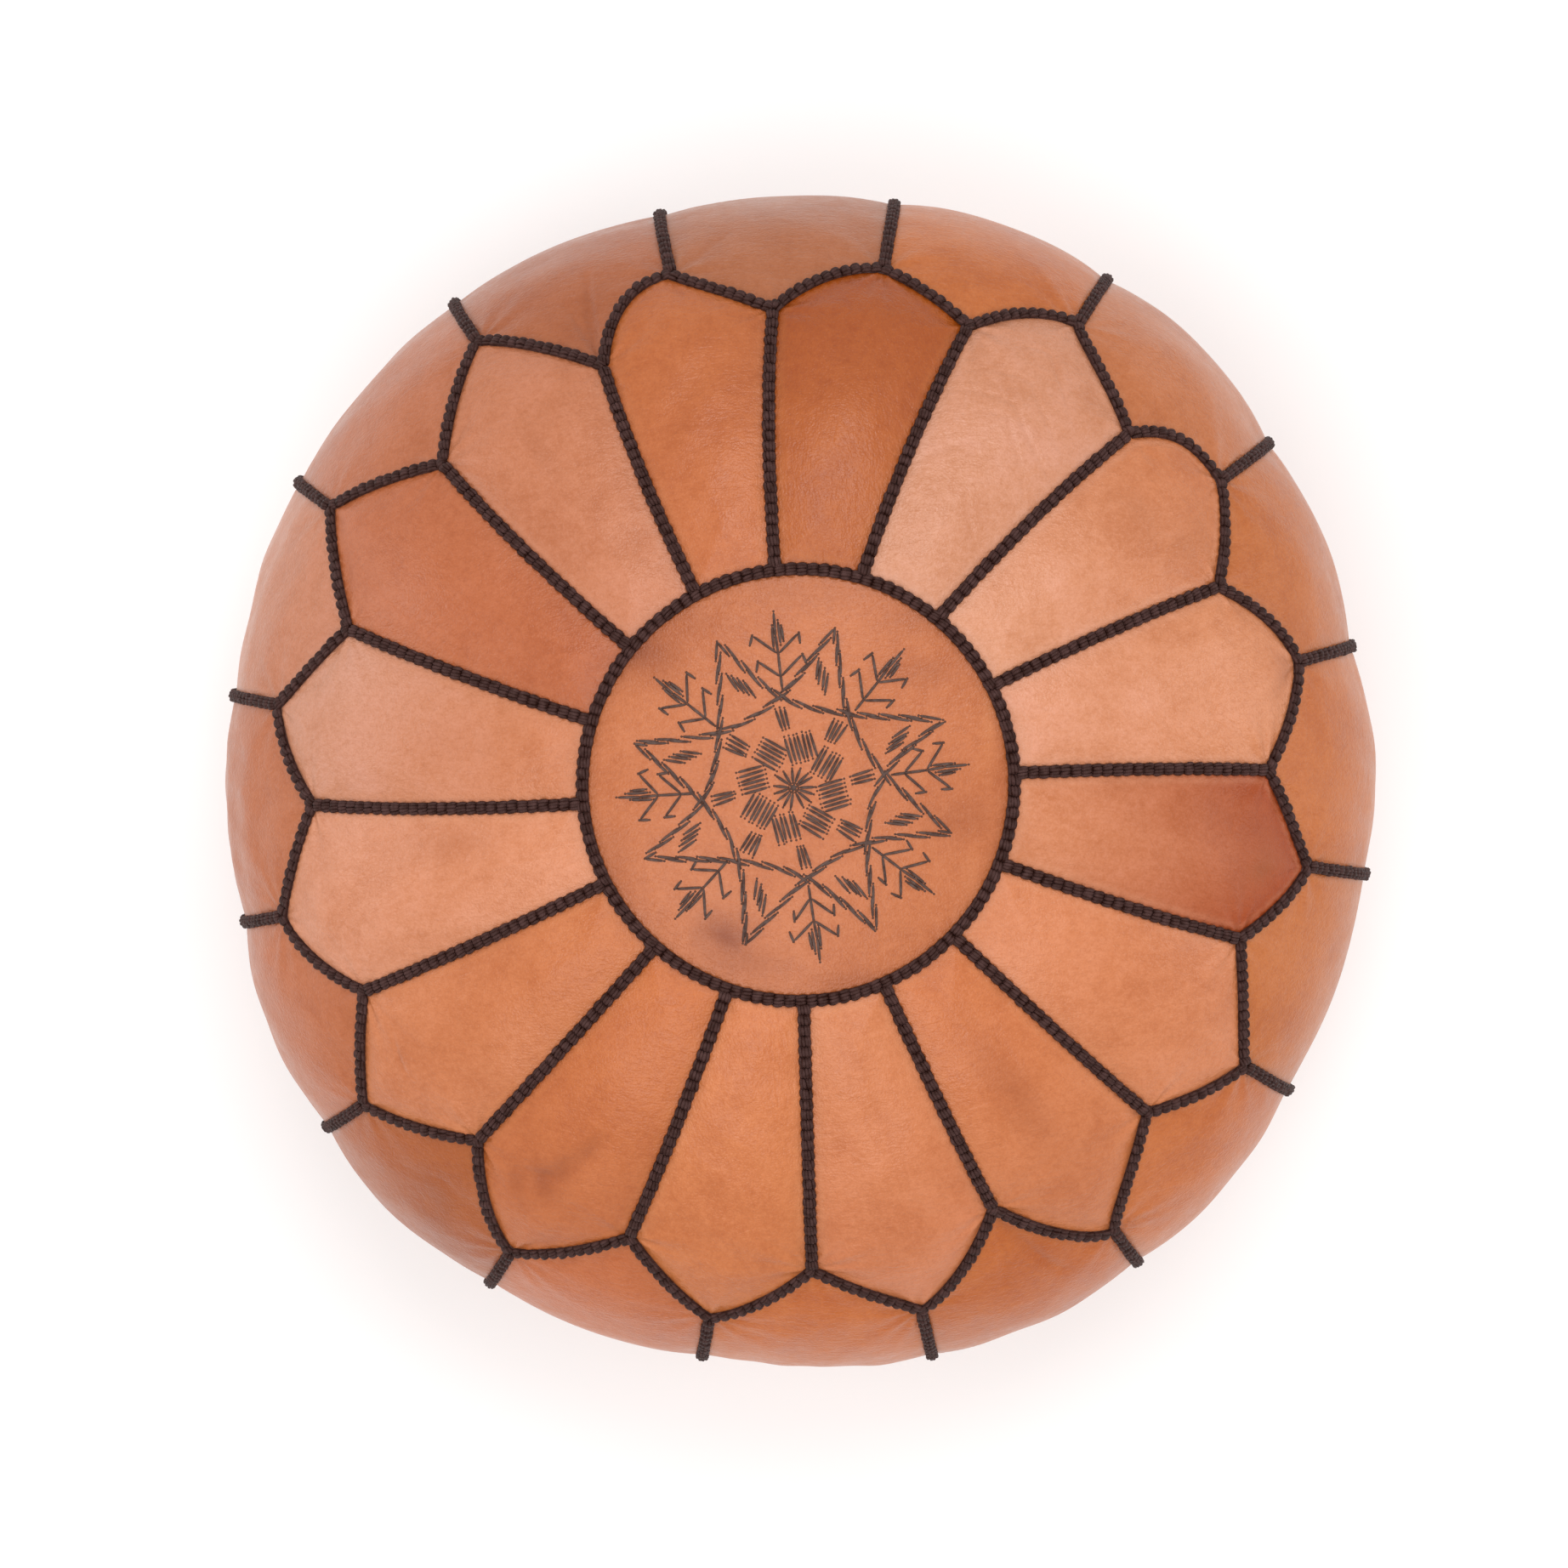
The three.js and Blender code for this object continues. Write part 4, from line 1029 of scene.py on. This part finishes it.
def braid(name, angle, latitude, nodes, closed=False, seed=0):
    """A raised braid along places of the cover: bundles of strands over a narrow bed, one bundle a stitch."""
    random = np.random.default_rng(seed)
    centre, heading, normal, pitch = stitch_frames(angle, latitude, closed)
    side = np.cross(normal, heading)
    count = len(centre)
    if not closed:
        centre[[0, -1]] += normal[[0, -1]] * KNOT_RISE
    sides, steps = 6, 7
    share = np.linspace(-1, 1, steps)
    arch = 1 - np.abs(share) ** 2.8
    thick = STRAND * (0.5 + 0.5 * arch)
    strands, uvs = [], []
    for row, rise in zip(STRAND_ROWS, STRAND_RISES):
        slant = random.normal(0.34, 0.12, count)[:, None] * MM * share
        middle = (row + random.normal(0, 0.1, count))[:, None] * MM
        across = middle * (0.72 + 0.28 * arch) + slant
        height = (rise + random.normal(0, 0.16, count))[:, None] * MM * arch - 0.3 * MM * (1 - arch)
        reach = 0.53 * pitch * (1 + random.normal(0, 0.04, count))[:, None] * share
        line = (
            centre[:, None]
            + heading[:, None] * reach[..., None]
            + side[:, None] * across[..., None]
            + normal[:, None] * height[..., None]
        )
        made, uv = tubes(line, side[:, None], thick[None, :, None, None], sides, (share + 1) * 1.4)
        strands.append(made)
        uvs.append(uv)
    strands = np.concatenate(strands)
    polygons = tube_polygons(len(strands), steps, sides)
    bed_points, bed_polygons = braid_bed(centre, heading, side, normal, pitch, closed)
    points = np.concatenate([strands.reshape(-1, 3), bed_points])
    offset = strands.shape[0] * steps * sides
    uv = np.concatenate([np.concatenate(uvs).reshape(-1, 2), np.zeros((len(bed_points), 2))])
    obj = new_object(name, points, polygons + [p + offset for p in bed_polygons], uv)
    dress(obj, BRAID_MATERIAL)
    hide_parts(*nodes)


def braid_bed(centre, heading, side, normal, pitch, closed):
    """The cord under the stitches: a low rounded strip through every stitch's middle."""
    if not closed:
        centre = np.concatenate(
            [centre[:1] - heading[:1] * pitch * 0.45, centre, centre[-1:] + heading[-1:] * pitch * 0.45]
        )
        side = np.concatenate([side[:1], side, side[-1:]])
        normal = np.concatenate([normal[:1], normal, normal[-1:]])
    across = np.array([-1, -0.6, 0, 0.6, 1, 0.5, -0.5]) * (BRAID_HALF_WIDTH - 0.5 * MM)
    height = np.array([0.1, 0.5, 0.7, 0.5, 0.1, -0.8, -0.8]) * MM
    points = centre[:, None] + side[:, None] * across[:, None] + normal[:, None] * height[:, None]
    return points.reshape(-1, 3), ring_polygons(points, closed)


def trimmed(angle, latitude, start, stop):
    """A route of places with lengths given up at its ends to the braids that it meets."""
    along = lengths_along(surface(angle, latitude))
    wanted = np.linspace(start, along[-1] - stop, len(angle))
    return np.interp(wanted, along, angle), np.interp(wanted, along, latitude)


def braids():
    turn = np.linspace(0, -360, 361)[:-1]
    rings = (("medallion_ring_braid", RING_LATITUDE, 1), ("base_ring_braid", BASE_SEAM_LATITUDE, 2))
    for name, latitude, seed in rings:
        braid(name + "_stitched", turn, np.full(360, latitude), [name], True, seed)
    share = np.linspace(0, 1, 120)
    for k in range(SECTORS):
        zero = np.zeros_like(share)
        seam = trimmed(*petal_place(k, zero, share), BRAID_MEET, BRAID_MEET)
        name = f"radial_braid_{k + 1:02d}"
        braid(name + "_stitched", *seam, [name], False, 10 + k)
        one = np.ones_like(share)
        seam = trimmed(*side_place(k, one, share), BRAID_MEET, 1.5 * BRAID_MEET)
        braid(f"side_braid_{k + 1:02d}_stitched", *seam, ["scallop_and_side_braid"], False, 40 + k)
    edge = [scallop_place(k, np.linspace(0, 1, 60, endpoint=False)) for k in range(SECTORS)]
    angle = np.concatenate([a for a, _ in edge])
    latitude = np.concatenate([b for _, b in edge])
    braid("scallop_braid_stitched", angle, latitude, ["scallop_and_side_braid"], True, 3)


# ---------------- base, stuffing and zip
SLIT_HALF_LENGTH = 156 * MM
SLIT_HALF_WIDTH = 7 * MM
LIP_TOP = 6.8 * MM
ALLOWANCE = 2.6 * MM  # depth of the edges turned in where the two halves meet beyond the slit
BASE_REST = 0.4 * MM  # height of the leather over the floor, which the stitches stand on
ZIP_STITCH_Y = 12 * MM  # where the zip's tapes are sewn to the base
ZIP_STITCH = 3.6 * MM
SEWN_HALF_LENGTH = SLIT_HALF_LENGTH + 6 * MM
CROSS_PITCH = 5.4 * MM  # of the cross stitches that close the seam, and their size along and across it
CROSS_LENGTH = 2.6 * MM
CROSS_HALF_WIDTH = 2.4 * MM
BASE_THREAD = 0.45 * MM  # radius of the base's sewing thread
THREAD_LIFT = 0.45 * MM  # height of its middle over the floor


def under_height(radius):
    """Height of the base's underside: flat in the middle, and rising along the half section at the rim."""
    roll = np.clip((radius - FLAT_RADIUS) / (RADIUS - FLAT_RADIUS), 0, 1)
    rise = section(180 - np.degrees(np.arcsin(roll ** (UNDER_POWER / 2))))[1]
    return np.where(radius > FLAT_RADIUS, rise, 0)


def base_half(name, side):
    """Half of the base: flat on the floor, turned up at the rim, its slit edge folded up as a lip."""
    columns, rows = 128, 56
    theta = np.linspace(0, math.pi, columns + 1)
    rim_radius = section(np.array(BASE_SEAM_LATITUDE + 0.3))[0]
    x_inner = -np.cos(theta) * rim_radius * 0.999
    gap = np.clip((np.abs(x_inner) - SLIT_HALF_LENGTH) / (5 * MM), 0, 1)
    y_inner = lerp(SLIT_HALF_WIDTH, SEAM_GAP / 2, gap)
    x_rim = -np.cos(theta) * rim_radius
    y_rim = np.maximum(np.sin(theta) * rim_radius, y_inner + 0.2 * MM)
    share = np.linspace(0, 1, rows + 1)[:, None]
    x = lerp(x_inner, x_rim, share)
    y = lerp(y_inner, y_rim, share)
    z = under_height(np.minimum(np.hypot(x, y), rim_radius)) + BASE_REST
    depth = np.linspace(1, 0.12, 6)[:, None] * lerp(LIP_TOP - BASE_REST, ALLOWANCE, gap)
    lip = np.stack([np.broadcast_to(x[0], depth.shape), np.broadcast_to(y[0], depth.shape), z[0] + depth], -1)
    grid = np.concatenate([lip, np.stack([x, y, z], axis=-1)])
    grid[..., 1] *= side
    if side > 0:
        grid = grid[:, ::-1]
    uv = np.stack(np.meshgrid(np.linspace(0, 0.5, columns + 1), np.linspace(0, 0.25, len(grid))), axis=-1)
    none = np.zeros(grid.shape[:2])
    obj = shell(name + "_leather", grid, uv, dye_and_painted_light_guides(none, none, none, none))
    tone = linear(BASE_TONE)
    dress(obj, leather(name + "_dye", tone, tone, 140.0 + 5 * side))
    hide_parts(name)


def base_stitches():
    """Rows of stitches that hold the zip in the base, and cross stitches that close the seam beyond it."""
    ends = []
    count = int(2 * SEWN_HALF_LENGTH / ZIP_STITCH)
    for side in (-1, 1):
        for i in range(count):
            x = i * ZIP_STITCH - SEWN_HALF_LENGTH
            y = side * ZIP_STITCH_Y + rng.normal(0, 0.12) * MM
            ends.append(((x, y), (x + 0.78 * ZIP_STITCH, y)))
    for side in (-1, 1):
        for across in (-4, 0, 4):
            x = side * (SLIT_HALF_LENGTH + 6.5 * MM)
            y = across * 2.2 * MM
            ends.append(((x, y - 3 * MM), (x, y + 3 * MM)))
        x = SLIT_HALF_LENGTH + 10 * MM
        while x < section(np.array(BASE_SEAM_LATITUDE))[0] - 6 * MM:
            ends.append(((side * x, -CROSS_HALF_WIDTH), (side * (x + CROSS_LENGTH), CROSS_HALF_WIDTH)))
            x += CROSS_PITCH
    ends = np.array(ends)
    share = np.linspace(0, 1, 7)
    line = lerp(ends[:, None, 0], ends[:, None, 1], share[:, None])
    dive = 1 - np.sin(np.pi * share) ** 0.4
    height = under_height(np.hypot(line[..., 0], line[..., 1])) + THREAD_LIFT + 0.6 * MM * dive
    centre = np.concatenate([line, height[..., None]], axis=-1)
    across = np.cross((0, 0, 1), unit(np.gradient(centre, axis=1)))
    thick = BASE_THREAD * np.linalg.norm(across, axis=-1)[..., None, None]  # thinner where it dives
    points, uv = tubes(centre, across, thick, 6, share * 3)
    thread_object("base_stitches", points, uv * (1, 0), BRAID_MATERIAL)


def stuffing():
    """Loose filling that presses out against the cover: lumpy, with a hollow over the zip."""
    inset, floor, bump = 7 * MM, 13 * MM, 0.9 * MM
    rows, columns = 90, 180
    around, down = np.linspace(0, 360, columns, endpoint=False), np.linspace(0.5, 168, rows)
    angle, latitude = np.meshgrid(around, down)
    lump = bump * np.sin(9 * np.radians(angle) + latitude / 9) * np.sin(np.radians(latitude) * 7)
    grid = surface(angle, latitude, lump - inset)
    grid[..., 2] = np.maximum(grid[..., 2], floor)
    obj = new_object("stuffing_cotton", grid.reshape(-1, 3), ring_polygons(grid))
    dress(obj, woven("loose_cotton", (0.72, 0.66, 0.56), 160.0, 0.95))
    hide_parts("stuffing")


def box_points(low, high):
    x, y, z = zip(low, high)
    return np.array([(x[i], y[j], z[k]) for k in (0, 1) for i, j in ((0, 0), (1, 0), (1, 1), (0, 1))])


BOX_QUADS = np.array([(0, 3, 2, 1), (4, 5, 6, 7), (0, 1, 5, 4), (1, 2, 6, 5), (2, 3, 7, 6), (3, 0, 4, 7)])
TOOTH_PITCH = 3.6 * MM
TOOTH_HALF_LENGTH = 0.75 * MM
TOOTH_REACH = 3.4 * MM  # from the zip's middle line to the back of a tooth
TOOTH_LOW, TOOTH_HIGH = 6.4 * MM, 8.6 * MM
TAPE_Z = 7.5 * MM
BARE_TAPE = 20 * MM  # past the teeth at each end


def zip_side(node, side):
    """One side of the zip: a woven tape with a corded edge, and a row of brass teeth clamped on it."""
    low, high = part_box(node)
    outer = high.y if side > 0 else -low.y
    inner = 0.42 * MM
    across = np.append(np.array([0.5, 0.9, 1.5, 5, 9, 13]) * MM, outer)
    half = np.array([0.25, 0.38, 0.36, 0.36, 0.36, 0.36, 0.3]) * MM
    outline_y = np.concatenate([across, across[::-1]])
    outline_z = np.concatenate([TAPE_Z - half, (TAPE_Z + half)[::-1]])
    stations = np.linspace(low.x, high.x, 60)
    count, sides = len(stations), len(outline_y)
    points = np.stack(
        [np.repeat(stations, sides), np.tile(outline_y * side, count), np.tile(outline_z, count)], axis=-1
    )
    obj = new_object(node + "_cloth", points, tube_polygons(1, count, sides, side < 0), smooth=False)
    dress(obj, TAPE_MATERIAL)
    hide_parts(node)
    first = low.x + BARE_TAPE
    count = int((high.x - low.x - 2 * BARE_TAPE) / TOOTH_PITCH)
    teeth = []
    for i in range(count):
        x = first + TOOTH_PITCH * (i + (0.5 if side > 0 else 0))
        near, far = sorted((inner * side, TOOTH_REACH * side))
        corners = (x - TOOTH_HALF_LENGTH, near, TOOTH_LOW), (x + TOOTH_HALF_LENGTH, far, TOOTH_HIGH)
        teeth.append(box_points(*corners))
    points = np.concatenate(teeth)
    polygons = [BOX_QUADS + 8 * i for i in range(count)]
    obj = new_object(node + "_teeth", points, polygons, smooth=False)
    round_edges(obj, 0.22 * MM)
    dress(obj, BRASS_MATERIAL)


def zip_metal():
    """The end stop, slider and pull keep their CAD shapes, with rounded edges and a brass finish."""
    for node in ("zip_end_stop", "zip_slider", "zip_pull"):
        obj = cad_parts[node]
        obj.data.materials.clear()
        obj.data.materials.append(BRASS_MATERIAL)
        round_edges(obj, 0.2 * MM)


# ---------------- camera, light and floor
CAMERA_DISTANCE = 1.785  # from the camera to the pouf's widest girth
LENS = 85
AIM = Vector((-6.5 * MM, -3.5 * MM, BELLY_Z))
CAMERA_SHIFT = 43.5 * MM  # along Y, for the photograph's slight slant


def camera():
    data = bpy.data.cameras.new("camera")
    data.lens = LENS
    obj = bpy.data.objects.new("camera", data)
    bpy.context.scene.collection.objects.link(obj)
    obj.location = AIM + Vector((0, CAMERA_SHIFT, CAMERA_DISTANCE))
    back = (obj.location - AIM).normalized()
    right = Vector((1, 0, 0))
    obj.rotation_euler = Matrix((right, back.cross(right), back)).transposed().to_euler()
    bpy.context.scene.camera = obj


def area_light(name, place, aim, size, power):
    data = bpy.data.lights.new(name, "AREA")
    data.shape = "DISK"
    data.size = size
    data.energy = power
    obj = bpy.data.objects.new(name, data)
    obj.location = place
    obj.rotation_euler = (aim - place).to_track_quat("-Z", "Y").to_euler()
    bpy.context.scene.collection.objects.link(obj)


def studio():
    world = bpy.data.worlds.new("white studio")
    world.use_nodes = True
    background = world.node_tree.nodes["Background"]
    background.inputs["Color"].default_value = (1.0, 0.985, 0.975, 1)
    background.inputs["Strength"].default_value = 0.85
    bpy.context.scene.world = world
    bpy.context.scene.view_settings.view_transform = "Standard"
    for name, place, aim_height, size, power in (
        ("key", (0.15, 0.95, 2.3), 0.25, 1.1, 15), ("front", (-0.3, -0.9, 2.5), 0.25, 1.5, 17),
        ("left", (-1.9, 0.3, 1.0), 0.2, 0.9, 6), ("right", (1.9, 0.1, 1.0), 0.2, 0.9, 6),
    ):
        area_light(name, Vector(place), Vector((0, 0, aim_height)), size, power)
    size, z = 40.0, -0.3 * MM
    corners = np.array([(-size, -size, z), (size, -size, z), (size, size, z), (-size, size, z)])
    floor = new_object("floor", corners, [np.array([(0, 1, 2, 3)])])
    t = Tree("pale_floor")
    shade = t.mix(t.noise(t.object_coordinates(), 1.5, 2.0), (0.93, 0.93, 0.935, 1), (0.95, 0.95, 0.95, 1))
    floor.data.materials.append(t.finished(Base_Color=shade, Roughness=0.8, Specular_IOR_Level=0.2))


BRAID_MATERIAL = thread("braid_dark_thread", (0.03, 0.0085, 0.0055), (0.085, 0.04, 0.036))
TAPE_MATERIAL = woven("zip_tape_weave", (0.15, 0.07, 0.035), 900.0)
BRASS_MATERIAL = brass("antique_brass")

camera()
studio()
medallion()
embroidery()
petals()
side_panels()
braids()
base_half("base_rear", 1)
base_half("base_front", -1)
base_stitches()
stuffing()
zip_side("zip_tape_rear", 1)
zip_side("zip_tape_front", -1)
zip_metal()
